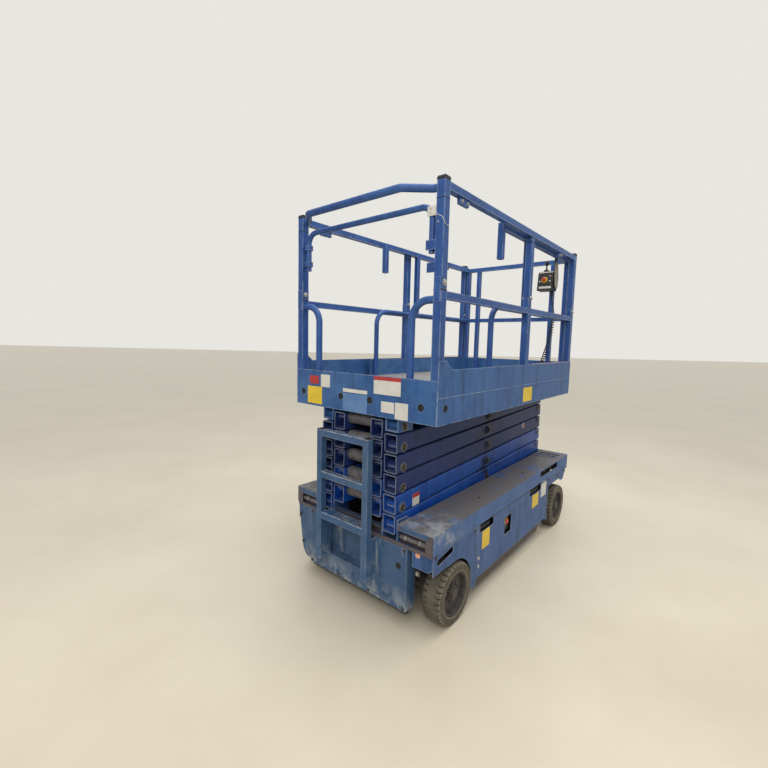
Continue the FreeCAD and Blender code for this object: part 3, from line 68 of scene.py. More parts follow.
def box_of(name):
    """The low and the high corner of a CAD part, in metres."""
    points = [nodes[name].matrix_world @ vertex.co for vertex in nodes[name].data.vertices]
    return [Vector([pick(point[axis] for point in points) for axis in range(3)]) for pick in (min, max)]


door_y = box_of("side_door_left")[1].y
skirt_y = box_of("side_panels")[1].y
skirt_x = box_of("entry_panel")[0].x
cover_x = box_of("rear_panel")[0].x
ledge_z = box_of("side_decks")[1].z
print("walls: door", round(door_y, 4), "skirt", round(skirt_y, 4), round(skirt_x, 4), "cover", round(cover_x, 4))

# %% [markdown]
# ## The camera
# The picture was taken with a wide lens, at chest height, from behind the machine's right rear corner.
# A camera is three directions and a place. Giving it the directions themselves, in place of angles, is
# the surest way to repeat a view that was measured. The lens follows from the focal length in pixels.

# %% Make the camera
camera_place = Vector((-2.951, -1.75, 1.691))
camera_ahead = Vector((0.75935, 0.64267, -0.10162)).normalized()
camera_up_guess = Vector((0.06276, 0.08311, 0.99452))
focal_pixels = 409.57
picture_pixels = 768
sensor = 36.0

camera_right = camera_ahead.cross(camera_up_guess).normalized()
camera_up = camera_right.cross(camera_ahead)
lens = bpy.data.cameras.new("camera")
lens.sensor_width = sensor
lens.lens = focal_pixels / picture_pixels * sensor
lens.clip_end = 60.0
camera = bpy.data.objects.new("camera", lens)
bpy.context.scene.collection.objects.link(camera)
stance = Matrix((camera_right, camera_up, -camera_ahead)).transposed()
camera.matrix_world = Matrix.Translation(camera_place) @ stance.to_4x4()
bpy.context.scene.camera = camera
print("camera lens", round(lens.lens, 2), "mm")

# %% [markdown]
# ## Colours and small node helpers
# Colours are noted as they look on a screen, from 0 to 255. A shader counts light instead, so each one is
# turned into its linear value once. The other helpers keep a material down to a few readable lines:
# `put` adds a node and fills its sockets, `blend` mixes two colours, and `cloud` is a noise in metres.

# %% Define the helpers for nodes
def screen(*colour):
    """A screen colour, 0 to 255, as a shader takes it."""
    shares = [value / 255 for value in colour]
    return (*[s / 12.92 if s <= 0.04045 else ((s + 0.055) / 1.055) ** 2.4 for s in shares], 1.0)


def plug(tree, socket, value):
    """Link a socket into another, or write a plain value into it."""
    if isinstance(value, bpy.types.NodeSocket):
        tree.links.new(value, socket)
    else:
        socket.default_value = value


def put(tree, kind, sockets=(), **settings):
    """Add a shader node, set its options and fill its sockets."""
    made = tree.nodes.new("ShaderNode" + kind)
    for key, value in settings.items():
        setattr(made, key, value)
    for name, value in dict(sockets).items():
        plug(tree, made.inputs[name], value)
    return made


def blend(tree, share, first, second):
    """Two colours mixed by a share from 0 to 1; a fixed colour is given as on a screen."""
    mix = put(tree, "Mix", data_type="RGBA")
    for number, value in ((0, share), (6, first), (7, second)):
        plug(tree, mix.inputs[number], screen(*value) if isinstance(value, tuple) else value)
    return mix.outputs[2]


def maths(tree, kind, first, second=0.0, clamp=True):
    """One step of arithmetic on two values."""
    return put(tree, "Math", {0: first, 1: second}, operation=kind, use_clamp=clamp).outputs[0]


def times(tree, first, second):
    """The product of two shares."""
    return maths(tree, "MULTIPLY", first, second)


def stretch(tree, value, low, high, to_low=0.0, to_high=1.0):
    """Spread the part of a value between low and high over a new range."""
    sockets = {"Value": value, "From Min": low, "From Max": high, "To Min": to_low, "To Max": to_high}
    return put(tree, "MapRange", sockets).outputs[0]


print("a mid blue is", [round(value, 3) for value in screen(46, 82, 136)[:3]], "to a shader")

# %% [markdown]
# Wear and dirt, and the painted highlight on edges, need to know where they are. A cloud of noise gives them
# an uneven edge, the way a face looks tells dust from grime, and the place along the machine gathers grease at
# a pin or scuffs at a step. Everything is read from the piece's own surface, so it stays put when the piece moves.

# %% Define the masks
ALONG, UP = 0, 2


def cloud(tree, scale, detail=4.0, rough=0.55, squeeze=(1.0, 1.0, 1.0)):
    """Noise in the machine's own metres, longer along an axis where squeeze is small."""
    place = put(tree, "TexCoord").outputs["Object"]
    mapped = put(tree, "Mapping", {"Vector": place, "Scale": squeeze}).outputs[0]
    sockets = {"Vector": mapped, "Scale": scale, "Detail": detail, "Roughness": rough}
    return put(tree, "TexNoise", sockets).outputs["Fac"]


def facing(tree, axis):
    """How much a surface faces along X, Y or Z of its own body, from -1 to 1."""
    own = put(tree, "TexCoord").outputs["Normal"]
    return put(tree, "SeparateXYZ", {0: own}).outputs[axis]


def near(tree, axis, middle, reach):
    """1 at a place along X, Y or Z of the machine at rest, falling to 0 at a distance from it."""
    place = put(tree, "SeparateXYZ", {0: put(tree, "TexCoord").outputs["Object"]}).outputs[axis]
    away = maths(tree, "ABSOLUTE", maths(tree, "SUBTRACT", place, middle, clamp=False))
    return stretch(tree, away, reach, 0.0)


def rounded_edges(tree, soft):
    """A mask that is bright along sharp edges: where a softened normal leaves the true one."""
    hard = put(tree, "NewGeometry").outputs["True Normal"]
    agree = put(tree, "VectorMath", {0: soft, 1: hard}, operation="DOT_PRODUCT").outputs["Value"]
    return stretch(tree, agree, 0.992, 0.86)


print("masks ready")

# %% [markdown]
# ## Paint that has worked for years
# The real coat is a mid blue, sprayed on steel. It fades in soft clouds, its edges are knocked down to pale
# primer, dust settles on whatever looks upwards, and grime runs down the upright faces. The pale edges are
# also a painted highlight, the light that rounded edges catch. One recipe lays all of these over each other,
# so each group of parts only states its own colours and how hard its life has been. Arm ends are sawn and
# touched up, and grease creeps out of the middle pins.

# %% Define the paint recipe
edge_reach = 0.008
grease_reach = 0.34
grease_dark = (14, 18, 30)
paint_shine = 0.28


def new_finish(name):
    """An empty material, its node tree and its shader."""
    material = bpy.data.materials.new(name)
    material.use_nodes = True
    return material, material.node_tree, material.node_tree.nodes["Principled BSDF"]


def shade(colour, factor):
    """A screen colour made darker or lighter."""
    return tuple(min(255, factor * value) for value in colour)


def grain(tree, shader, height, strength, depth):
    """Let a noise roughen the surface to the touch."""
    bump = put(tree, "Bump", {"Height": height, "Strength": strength, "Distance": depth})
    plug(tree, shader.inputs["Normal"], bump.outputs[0])


def paint(name, base, faded, edge, dust, wear_and_highlight=0.9, dirty=0.45, gloss=0.42, run=0.7, ends=0.0, grease=None,
          boot_wear_and_top_highlight=False):
    """Sprayed steel: clouds of fading, worn edges that also carry a painted highlight, runs on upright faces and
    dust on level ones.
    """
    material, tree, shader = new_finish(name)
    clouds = cloud(tree, 2.6, 7.0, 0.66)
    fine = cloud(tree, 95.0, 3.0, 0.7)
    soft = put(tree, "Bevel", {"Radius": edge_reach}, samples=4).outputs[0]
    # Pale edges: worn paint, and a painted highlight where rounded edges catch the light.
    rubbed_and_highlit = times(tree, rounded_edges(tree, soft), stretch(tree, cloud(tree, 14.0), 0.34, 0.52))
    # Upward edges only: boot wear, and a painted highlight on the tops of edges.
    if boot_wear_and_top_highlight:
        rise = put(tree, "SeparateXYZ", {0: soft}).outputs[UP]
        rubbed_and_highlit = times(tree, rubbed_and_highlit, stretch(tree, rise, 0.1, 0.5, 0.2, 1.0))
    level = stretch(tree, facing(tree, UP), 0.75, 0.98)
    settled = times(tree, level, stretch(tree, cloud(tree, 7.0, 6.0, 0.65), 0.3, 0.62))
    settled = times(tree, settled, dirty)
    blotches = stretch(tree, cloud(tree, 11.0, 6.0, 0.7), 0.5, 0.74, 0.0, 0.55)
    streaks = stretch(tree, cloud(tree, 13.0, 4.0, 0.6, (1.0, 1.0, 0.16)), 0.48, 0.78, 0.0, run)
    scratches = stretch(tree, cloud(tree, 60.0, 4.0, 0.8, (0.16, 0.16, 1.0)), 0.68, 0.72, 0.0, 0.6 * wear_and_highlight)
    specks = stretch(tree, fine, 0.69, 0.74, 0.0, 0.8 * wear_and_highlight)
    layers = [(blotches, shade(base, 0.72)), (streaks, shade(base, 0.62)), (scratches, edge), (specks, edge),
              (times(tree, rubbed_and_highlit, wear_and_highlight), edge), (settled, dust)]
    if ends:
        sawn = stretch(tree, maths(tree, "ABSOLUTE", facing(tree, ALONG)), 0.97, 0.995, 0.0, ends)
        layers.append((sawn, edge))
    if grease is not None:
        patchy = stretch(tree, cloud(tree, 6.0, 7.0, 0.7), 0.44, 0.58)
        smear = times(tree, near(tree, ALONG, grease, grease_reach), patchy)
        layers.append((times(tree, smear, 0.9), grease_dark))
    coat = blend(tree, stretch(tree, clouds, 0.36, 0.64), base, faded)
    for mask, colour in layers:
        coat = blend(tree, mask, coat, colour)
    plug(tree, shader.inputs["Base Color"], coat)
    sheen = stretch(tree, clouds, 0.3, 0.7, gloss - 0.08, gloss + 0.1)
    plug(tree, shader.inputs["Roughness"], maths(tree, "ADD", sheen, times(tree, settled, 0.4)))
    shader.inputs["Specular IOR Level"].default_value = paint_shine
    grain(tree, shader, fine, 0.12, 0.0008)
    return material


middle_x = round(places["cross_1"].x, 4)
sky_blue = paint("platform_paint", (42, 84, 142), (68, 106, 156), (156, 170, 188), (126, 128, 130), wear_and_highlight=0.8,
                 gloss=0.44)
rail_blue = paint("rail_paint", (38, 74, 140), (58, 94, 154), (140, 158, 186), (106, 118, 138), run=0.5)
deep_blue = paint("arm_paint", (12, 68, 158), (30, 82, 160), (118, 124, 140), (88, 92, 106), dirty=0.5,
                  gloss=0.36, ends=0.75, grease=middle_x)
slate_blue = paint("upper_arm_paint", (20, 40, 94), (38, 56, 108), (104, 112, 132), (84, 86, 98), dirty=0.6,
                   gloss=0.46, run=0.6, ends=0.75, grease=middle_x)
panel_blue = paint("panel_paint", (46, 82, 136), (74, 102, 148), (152, 162, 174), (118, 118, 116), dirty=0.7,
                   gloss=0.48, run=0.8)
print("paints", [finish.name for finish in (sky_blue, rail_blue, deep_blue, slate_blue, panel_blue)])

# %% [markdown]
# ## Worn ledges and scraped steel
# Boots and crates have taken the paint off the deck ledges: their tops are grey with blue islands, their
# sides still blue. The rear cover is scraped too, in upright strokes. Both are the same idea, a second
# surface that shows through the first, steered by which way the face looks and by one stretched noise.
# The upper edges of the ladder's rungs are the brightest of all: bare where boots wear them, and a painted
# highlight on top.

# %% Define the scraped finish
def recoat(material, mask, colour):
    """Lay one more coat over the colour that a finish already has."""
    tree = material.node_tree
    socket = tree.nodes["Principled BSDF"].inputs["Base Color"]
    plug(tree, socket, blend(tree, mask, socket.links[0].from_socket, colour))


def scraped(name, base, faded, bare, share, way=UP, stroke=(1.0, 1.0, 1.0), edge=None, wear_and_highlight=0.75):
    """Paint that is scraped down to dull metal on the faces that look along one axis."""
    material = paint(name, base, faded, edge or bare, bare, wear_and_highlight, 0.0, 0.5, 0.35, boot_wear_and_top_highlight=bool(edge))
    tree = material.node_tree
    amount = facing(tree, way) if way == UP else maths(tree, "ABSOLUTE", facing(tree, way))
    patches = stretch(tree, cloud(tree, 5.5, 8.0, 0.68, stroke), 0.62 - share, 0.74 - share)
    tone = blend(tree, cloud(tree, 38.0, 5.0, 0.7, stroke), shade(bare, 0.78), shade(bare, 1.16))
    recoat(material, times(tree, stretch(tree, amount, 0.6, 0.95), patches), tone)
    return material


def scuff(material, axis, middle, reach, tone, scale):
    """Pale scuffs that gather near one place along an axis, over a finish that is already there."""
    tree = material.node_tree
    patchy = stretch(tree, cloud(tree, scale, 9.0, 0.75), 0.46, 0.6, 0.0, 0.85)
    recoat(material, times(tree, near(tree, axis, middle, reach), patchy), tone)


ledge_finish = scraped("ledge_finish", (54, 92, 146), (78, 108, 154), (104, 100, 100), 0.28)
scuff(ledge_finish, ALONG, -1.02, 0.26, (158, 162, 166), 12.0)
cover_finish = scraped("cover_finish", (46, 78, 114), (74, 98, 130), (134, 142, 150), 0.04, ALONG, (2.2, 2.2, 0.5))
scuff(cover_finish, UP, 0.11, 0.16, (150, 156, 158), 8.0)
# The ladder's near-white upper edges are boot wear and a painted highlight.
step_finish = scraped("step_finish", (50, 84, 122), (74, 100, 132), (146, 148, 150), 0.12,
                      edge=(206, 210, 214), wear_and_highlight=1.0)
scuff(step_finish, UP, 0.23, 0.2, (138, 148, 156), 10.0)
deck_finish = scraped("deck_finish", (44, 86, 142), (72, 110, 156), (136, 134, 130), 0.34)
beam_finish = scraped("beam_finish", (58, 70, 96), (78, 84, 104), (92, 84, 84), 0.22, ALONG)
print("scraped finishes ready")

# %% [markdown]
# ## Rubber, plastic, steel and the rest
# A plain shader with one noise for tone and one for grain covers the small materials. The tyre mixes its
# grey-brown rubber with pale floor dust, and the dust sits thickest on the tread, as it does after years
# of turning on a concrete floor.

# %% Define the plain finishes
def plain(name, base, other, rough, metal=0.0, scale=30.0, bumps=0.15, coat=0.0):
    """One material with two tones in a fine cloud."""
    material, tree, shader = new_finish(name)
    tone = stretch(tree, cloud(tree, scale, 6.0, 0.65), 0.4, 0.62)
    plug(tree, shader.inputs["Base Color"], blend(tree, tone, base, other))
    plug(tree, shader.inputs["Roughness"], stretch(tree, tone, 0.0, 1.0, rough - 0.06, rough + 0.08))
    shader.inputs["Metallic"].default_value = metal
    shader.inputs["Coat Weight"].default_value = coat
    grain(tree, shader, cloud(tree, scale * 9, 3.0), bumps, 0.0006)
    return material


tyre_rubber = plain("tyre_rubber", (72, 67, 58), (98, 92, 78), 0.88, 0.0, 14.0, 0.5)
dusty_rubber = plain("dusty_rubber", (128, 122, 98), (108, 102, 84), 0.92, 0.0, 18.0, 0.4)
# The darker groove rubber is painted shade on the floors of the tyre's grooves.
groove_shade_rubber = plain("groove_shade_rubber", (34, 32, 29), (46, 43, 38), 0.9, 0.0, 18.0, 0.3)
rim_paint = plain("rim_paint", (52, 50, 52), (78, 72, 68), 0.66, 0.1, 26.0, 0.3)
old_plastic = plain("old_plastic", (116, 112, 104), (158, 154, 142), 0.55, 0.0, 30.0, 0.4)
tube_grime = plain("tube_grime", (84, 80, 86), (112, 108, 108), 0.6, 0.25, 22.0, 0.3)
grimy_steel = plain("grimy_steel", (70, 68, 68), (98, 90, 84), 0.55, 0.6, 34.0, 0.3)
zinc = plain("zinc_plate", (158, 160, 162), (186, 186, 180), 0.34, 0.85, 60.0, 0.1)
brass = plain("brass_bush", (120, 108, 74), (84, 80, 66), 0.45, 0.55, 60.0, 0.2)
chrome = plain("rod_chrome", (196, 198, 202), (214, 216, 220), 0.13, 1.0, 40.0, 0.02)
black_plastic = plain("black_plastic", (20, 20, 22), (34, 34, 36), 0.48, 0.0, 40.0, 0.12)
black_rubber = plain("black_rubber", (16, 16, 17), (28, 28, 28), 0.62, 0.0, 50.0, 0.2)
# Painted shade: a near-black for the insides of holes, hollows and the spaces behind notches.
hollow_shade = plain("hollow_shade", (16, 18, 26), (24, 26, 34), 0.8, 0.0, 20.0, 0.1)
battery_case = plain("battery_case", (40, 44, 52), (58, 60, 64), 0.55, 0.0, 18.0, 0.2)
white_plate = plain("white_plate", (212, 209, 202), (200, 198, 192), 0.5, 0.0, 12.0, 0.05)
yellow_plate = plain("yellow_plate", (226, 194, 52), (214, 182, 48), 0.46, 0.0, 12.0, 0.05)
red_plate = plain("red_plate", (176, 48, 46), (158, 44, 44), 0.46, 0.0, 12.0, 0.05)
blue_plate = plain("blue_plate", (78, 116, 166), (96, 130, 176), 0.46, 0.0, 12.0, 0.05)
signal_red = plain("signal_red", (188, 26, 24), (168, 22, 22), 0.3, 0.0, 40.0, 0.04, 0.4)
amber_lens = plain("amber_lens", (218, 146, 112), (230, 166, 136), 0.25, 0.0, 40.0, 0.04, 0.6)
tread_steel = plain("tread_steel", (120, 122, 126), (92, 96, 106), 0.5, 0.35, 20.0, 0.25)
print("plain finishes ready")

# %% [markdown]
# ## Dress the CAD parts
# A CAD part keeps its shape and only changes its coat. The table below pairs each finish with the parts
# that wear it. The two lower stages of arms are a fresher, deeper blue than the ones above them.

# %% Give every CAD part its finish
wearers = {
    sky_blue: "side_panels entry_panel platform_tracks floor_joists",
    deck_finish: "extension_floor",
    rail_blue: "lower_posts mid_rails upper_frames entry_rail grab_tubes gate_hinges entry_gate "
               "extension_rails extension_side_tubes",
    deep_blue: "outer_arms_1 inner_arms_1 outer_arms_2 inner_arms_2",
    slate_blue: "outer_arms_3 inner_arms_3 outer_arms_4 inner_arms_4 outer_arms_5 inner_arms_5 "
                "cylinder_barrel_lower cylinder_barrel_upper",
    panel_blue: "rear_fenders front_sides side_door_left side_door_right front_beam base_brackets",
    ledge_finish: "side_decks",
    cover_finish: "rear_panel",
    step_finish: "ladder",
    beam_finish: "rear_beam",
    grimy_steel: "frame_rails cross_members belly_pan rear_axle kingpin_carriers knuckle_left "
                 "knuckle_right tie_rod",
    tread_steel: "platform_floor",
    chrome: "cylinder_rod_lower cylinder_rod_upper",
    battery_case: "battery_boxes",
    black_plastic: "control_box",
    black_rubber: "lead_thin lead_curl",
    tyre_rubber: "tyre_rear_left tyre_rear_right tyre_front_left tyre_front_right",
    rim_paint: "rim_rear_left rim_rear_right rim_front_left rim_front_right",
}
dressed = set()
for finish, names in wearers.items():
    for name in names.split():
        for slot in nodes[name].material_slots:
            slot.material = finish
        dressed.add(name)
print("dressed", len(dressed), "of", len(nodes), "left", sorted(set(nodes) - dressed))

# %% [markdown]
# ## A bench for small parts
# Bolts, plates, caps and bars are many, and each is a simple form: something turned on a lathe, or a block
# with its edges broken. The bench collects such forms until they leave it as one object, so that a ring of
# nuts is one piece. It works in the machine's own metres, so a piece is made where it sits.

# %% Define the bench
class Bench:
    """Points and faces that will leave as one piece, each face with the number of its finish."""

    def __init__(self):
        self.clear()

    def clear(self):
        """Sweep the bench for the next piece."""
        self.points, self.faces, self.coats = [], [], []

    def take(self, points, faces, coat=0):
        """Add loose points and faces, with one finish for all of them or a list of finishes."""
        start = len(self.points)
        self.points += [tuple(point) for point in points]
        self.faces += [tuple(start + index for index in face) for face in faces]
        self.coats += coat if isinstance(coat, list) else [coat] * len(faces)

    def leave(self, name, body, finishes, smooth=35.0):
        """Turn what lies on the bench into one object that rides on a body."""
        mesh = bpy.data.meshes.new(name)
        mesh.from_pydata(self.points, [], self.faces)
        for finish in finishes:
            mesh.materials.append(finish)
        mesh.polygons.foreach_set("material_index", self.coats)
        work = bmesh.new()
        work.from_mesh(mesh)
        bmesh.ops.recalc_face_normals(work, faces=work.faces)
        work.to_mesh(mesh)
        work.free()
        mesh.polygons.foreach_set("use_smooth", [True] * len(mesh.polygons))
        mesh.set_sharp_from_angle(angle=math.radians(smooth))
        piece = bpy.data.objects.new(name, mesh)
        bpy.context.scene.collection.objects.link(piece)
        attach(piece, body)
        print(name, "on", body, len(self.faces), "faces")
        self.clear()
        return piece


bench = Bench()


def bands(rows, around):
    """Four-sided faces between rows of points that each run once round something."""
    corners = ((0, 0), (0, 1), (1, 1), (1, 0))
    return [tuple((row + down) * around + (number + on) % around for down, on in corners)
            for row in range(rows - 1) for number in range(around)]


def ends(rows, around):
    """The two faces that close such a skin."""
    return [tuple(range(around)), tuple(range((rows - 1) * around, rows * around))]


# %% [markdown]
# A lathe needs an outline: pairs of how far along the axis, and how wide there. Bolt heads are turned too,
# with six sides in place of many, and each is left at its own random angle, as a spanner leaves it.

# %% Turn things on a lathe
def spoke(side, other, angle):
    """The way that a spoke points between two sides that are square to each other."""
    return side * math.cos(angle) + other * math.sin(angle)


def lathe(centre, axis, outline, sides=24, coat=0, phase=0.0, closed=False):
    """Turn an outline of (along, radius) pairs about an axis; ends with a radius of 0 close up."""
    along = Vector(axis).normalized()
    side = along.orthogonal().normalized()
    other = along.cross(side)
    points, rings = [], []
    for distance, radius in outline:
        middle = Vector(centre) + along * distance
        count = sides if radius else 1
        rings.append(range(len(points), len(points) + count))
        angles = [phase + math.tau * number / sides for number in range(count)]
        points += [middle + spoke(side, other, angle) * radius for angle in angles]
    faces = []
    for low, high in zip(rings, rings[1:] + rings[:1] if closed else rings[1:]):
        for number in range(sides if len(low) + len(high) > 2 else 0):
            after = (number + 1) % sides
            corners = (low, number), (low, after), (high, after), (high, number)
            faces.append(list(dict.fromkeys(ring[index % len(ring)] for ring, index in corners)))
    bench.take(points, faces, coat)


def disc(height, radius):
    """The outline of a flat round face."""
    return [(height, radius), (height, 0)]


def bolt(centre, axis, across, height, coat=0, washer=True):
    """A bolt head or nut, with its washer and the end of its thread."""
    low = height * 0.22 if washer else 0.0
    if washer:
        lathe(centre, axis, [(0, across * 0.86), (low, across * 0.84), (low, 0)], 20, coat)
    radius = across / 2 / math.cos(math.pi / 6)
    head = [(low, radius), (height * 0.9, radius), (height, radius * 0.86), (height, 0)]
    thread = [(height, across * 0.26), (height * 1.25, across * 0.22), (height * 1.25, 0)]
    lathe(centre, axis, head, 6, coat, random.uniform(0, 1.0))
    lathe(centre, axis, thread, 12, coat)


print("lathe ready; a disc of 10 mm is", disc(0, 0.005))

# %% [markdown]
# Blocks get a small flat along each edge, because no cut edge on a real machine is knife-sharp, and the
# flat is what catches the light. Much of the machine is the same on both sides, so `pair` makes a block
# and its mirror image together. A sticker is a thin plate with rounded corners on an upright wall.

# %% Cut blocks and plates
def block(low, high, edge=0.0, coat=0):
    """A block between two corners, its edges broken by a small flat."""
    work = bmesh.new()
    bmesh.ops.create_cube(work, size=1.0)
    for vertex in work.verts:
        vertex.co = [a + (b - a) * (unit + 0.5) for a, b, unit in zip(low, high, vertex.co)]
    if edge > 0:
        bmesh.ops.bevel(work, geom=list(work.edges), offset=edge, segments=1, affect="EDGES")
    work.verts.index_update()
    bench.take([v.co for v in work.verts], [[v.index for v in face.verts] for face in work.faces], coat)
    work.free()


def pair(low, high, edge=0.0, coat=0):
    """The same block on the left and, mirrored, on the right; low and high are the left one's corners."""
    block(low, high, edge, coat)
    block((low[0], -high[1], low[2]), (high[0], -low[1], high[2]), edge, coat)


def sticker(corner, along, up, outward, coat=0, radius=0.006, thick=0.0012):
    """A thin plate with rounded corners, standing off its wall."""
    corner, along, up, outward = Vector(corner), Vector(along), Vector(up), Vector(outward)
    width, height = along.length, up.length
    quarter = 5
    outline = []
    for cx, cy, start in ((width - radius, radius, -90), (width - radius, height - radius, 0),
                          (radius, height - radius, 90), (radius, radius, 180)):
        for step in range(quarter):
            angle = math.radians(start + 90 * step / (quarter - 1))
            outline.append((cx + radius * math.cos(angle), cy + radius * math.sin(angle)))
    points = []
    for lift, bevel in ((0.0, 0.0), (thick, thick)):
        for u, v in outline:
            share_u = 0.5 + (u / width - 0.5) * (1 - bevel / width)
            share_v = 0.5 + (v / height - 0.5) * (1 - bevel / height)
            points.append(corner + along * share_u + up * share_v + outward * lift)
    count = len(outline)
    bench.take(points, bands(2, count) + ends(2, count)[1:], coat)


def side_sticker(sign, wall, x0, x1, z0, z1, coat):
    """A sticker on a wall of the left or right side, between two places along and two heights."""
    sticker((x0, sign * (wall + hair), z0), (x1 - x0, 0, 0), (0, 0, z1 - z0), (0, sign, 0), coat)


print("blocks and plates ready")

# %% [markdown]
# ## The lead of the control box
# A thin cable leaves the box, drops a little and turns into a curly lead that ends in a socket on the
# roll-out deck. The thin part is a curve with a round section. The curly part is a helix wound round the
# same kind of curve: first the spine is read as a line, then the wire is swept round it at a steady pitch.

# %% Route both parts of the lead
thin_points = [(0.905, -0.455, 2.167), (0.905, -0.455, 2.11), (0.935, -0.46, 2.06),
               (0.97325, -0.46045, 1.99795), (0.965, -0.461, 1.949)]
curl_points = [(0.965, -0.461, 1.949), (0.95, -0.462, 1.86), (0.915, -0.458, 1.765),
               (0.87, -0.454, 1.68), (0.815, -0.45, 1.6), (0.755, -0.447, 1.515)]


def spline_curve(name, points, radius, steps=16):
    """A smooth line through the air, with the route's points as its control points."""
    data = bpy.data.curves.new(name, "CURVE")
    data.dimensions = "3D"
    data.resolution_u = steps
    line = data.splines.new("NURBS")
    line.points.add(len(points) - 1)
    for control, point in zip(line.points, points):
        control.co = (*point, 1.0)
    line.order_u = 3
    line.use_endpoint_u = True
    data.bevel_depth = radius
    data.bevel_resolution = 4
    piece = bpy.data.objects.new(name, data)
    bpy.context.scene.collection.objects.link(piece)
    return piece


def line_of(points):
    """The smooth line itself, as points, read from the same kind of spline with no thickness."""
    bare = spline_curve("spine", points, 0.0, 48)
    bpy.context.view_layer.update()
    mesh = bpy.data.meshes.new_from_object(bare.evaluated_get(bpy.context.evaluated_depsgraph_get()))
    line = [vertex.co.copy() for vertex in mesh.vertices]
    bpy.data.meshes.remove(mesh)
    bpy.data.objects.remove(bare)
    return line


def length_of(line):
    """How long a line of points is."""
    return sum((after - before).length for before, after in zip(line, line[1:]))


thin_radius = 0.005
thin_lead = spline_curve("thin_lead", thin_points, thin_radius)
thin_lead.data.materials.append(black_rubber)
thin_length = length_of(line_of(thin_points))
spine = line_of(curl_points)
print("thin lead", round(thin_length, 4), "m; curly spine", round(length_of(spine), 4), "m")

# %% [markdown]
# The helix keeps close turns. A frame that is carried along the spine, and not turned to the world's axes
# at each step, stops the turns from bunching where the spine bends.

# %% Walk along a line
def evenly(line, count):
    """Points at even steps along a line."""
    total = length_of(line)
    result = []
    walked = 0.0
    index = 0
    for number in range(count + 1):
        distance = total * number / count
        while index < len(line) - 2 and walked + (line[index + 1] - line[index]).length < distance:
            walked += (line[index + 1] - line[index]).length
            index += 1
        reach = max((line[index + 1] - line[index]).length, 1e-9)
        result.append(line[index].lerp(line[index + 1], min(1.0, (distance - walked) / reach)))
    return result


def carried_frames(line):
    """At each point: the point and two sides, carried along without twisting."""
    frames = []
    side = None
    for number, point in enumerate(line):
        ahead = (line[min(number + 1, len(line) - 1)] - line[max(number - 1, 0)]).normalized()
        side = side or ahead.orthogonal()
        side = (side - ahead * side.dot(ahead)).normalized()
        frames.append((point, side, ahead.cross(side)))
    return frames


def sweep(line, radius, sides=8, coat=0):
    """A round wire along a line of points, closed at both ends."""
    points = []
    for point, side, other in carried_frames(line):
        points += [point + spoke(side, other, math.tau * number / sides) * radius for number in range(sides)]
    bench.take(points, bands(len(line), sides) + ends(len(line), sides), coat)


def helix_round(line, radius, turns, per_turn):
    """A helix round a spine; its ends ease in to the spine so that the wire enters its sleeves."""
    count = turns * per_turn
    result = []
    for number, (point, side, other) in enumerate(carried_frames(evenly(line, count))):
        share = number / count
        ease = min(1.0, share * turns / 1.2, (1 - share) * turns / 1.2)
        result.append(point + spoke(side, other, math.tau * turns * share) * radius * ease)
    return result


print("the spine in 4 even steps:", [tuple(round(v, 3) for v in point) for point in evenly(spine, 4)])

# %% [markdown]
# The wire is swept round the helix, and a sleeve covers the joint of both parts.

# %% Wind the curly lead
wire_radius = 0.0045
helix = helix_round(spine, 0.0128, turns=21, per_turn=28)
sweep(helix, wire_radius)
curly_lead = bench.leave("curly_lead", "extension", [black_rubber], 60.0)
drop = (Vector(curl_points[1]) - Vector(curl_points[0])).normalized()
sleeve_outline = [(0, 0.0055), (0.002, 0.0075), (0.016, 0.0085), (0.024, 0.0085), (0.026, 0.0045)]
lathe(Vector(curl_points[0]) - drop * 0.012, drop, sleeve_outline, 16, closed=True)
sleeve = bench.leave("lead_sleeve", "extension", [black_plastic])

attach(thin_lead, "extension")
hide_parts("lead_thin")
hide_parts("lead_curl")
print("helix", round(length_of(helix), 3), "m of wire")

# %% [markdown]
# ## Tyres with lugs
# The tyres are solid rubber, as a machine for smooth floors has: a plain middle band and shallow slanted
# kinked grooves that run out over both shoulders. One grid is wrapped round the wheel. Its rows follow the
# section of the tyre, its columns the rim, and two columns in eight are pressed in to make a groove. The
# floor of each groove is a darker rubber, painted shade. Dust whitens two bands, the edge of the shoulder and
# the bead at the rim.

# %% Make a tyre mesh for each wheel
wheels = [f"{axle}_{side}" for axle in ("rear", "front") for side in ("left", "right")]
AHEAD, UPWARD = Vector((1, 0, 0)), Vector((0, 0, 1))
groove = 0.007
lugs, steps_per_lug = 34, 8
band_half, shoulder_radius = 0.028, 0.178
kink_along, kink_half, kink_turn = 0.042, 0.013, 0.024
half_section = [(-0.06, 0.1305), (-0.063, 0.1345), (-0.0635, 0.142), (-0.0635, 0.176), (-0.0625, 0.18),
                (-0.059, 0.1848), (-0.0535, 0.1879), (-0.048, 0.189), (-0.042, 0.1896), (-0.036, 0.1899),
                (-0.029, 0.19), (-0.027, 0.19)]
section = half_section + [(0.0, 0.19)] + [(-along, radius) for along, radius in reversed(half_section)]
dusty_rows = (1, 4)
tyre_coats = [tyre_rubber, dusty_rubber, groove_shade_rubber]


def is_lugged(along, radius):
    """Whether a place on the section belongs to the band that carries the grooves."""
    return abs(along) > band_half and radius > shoulder_radius


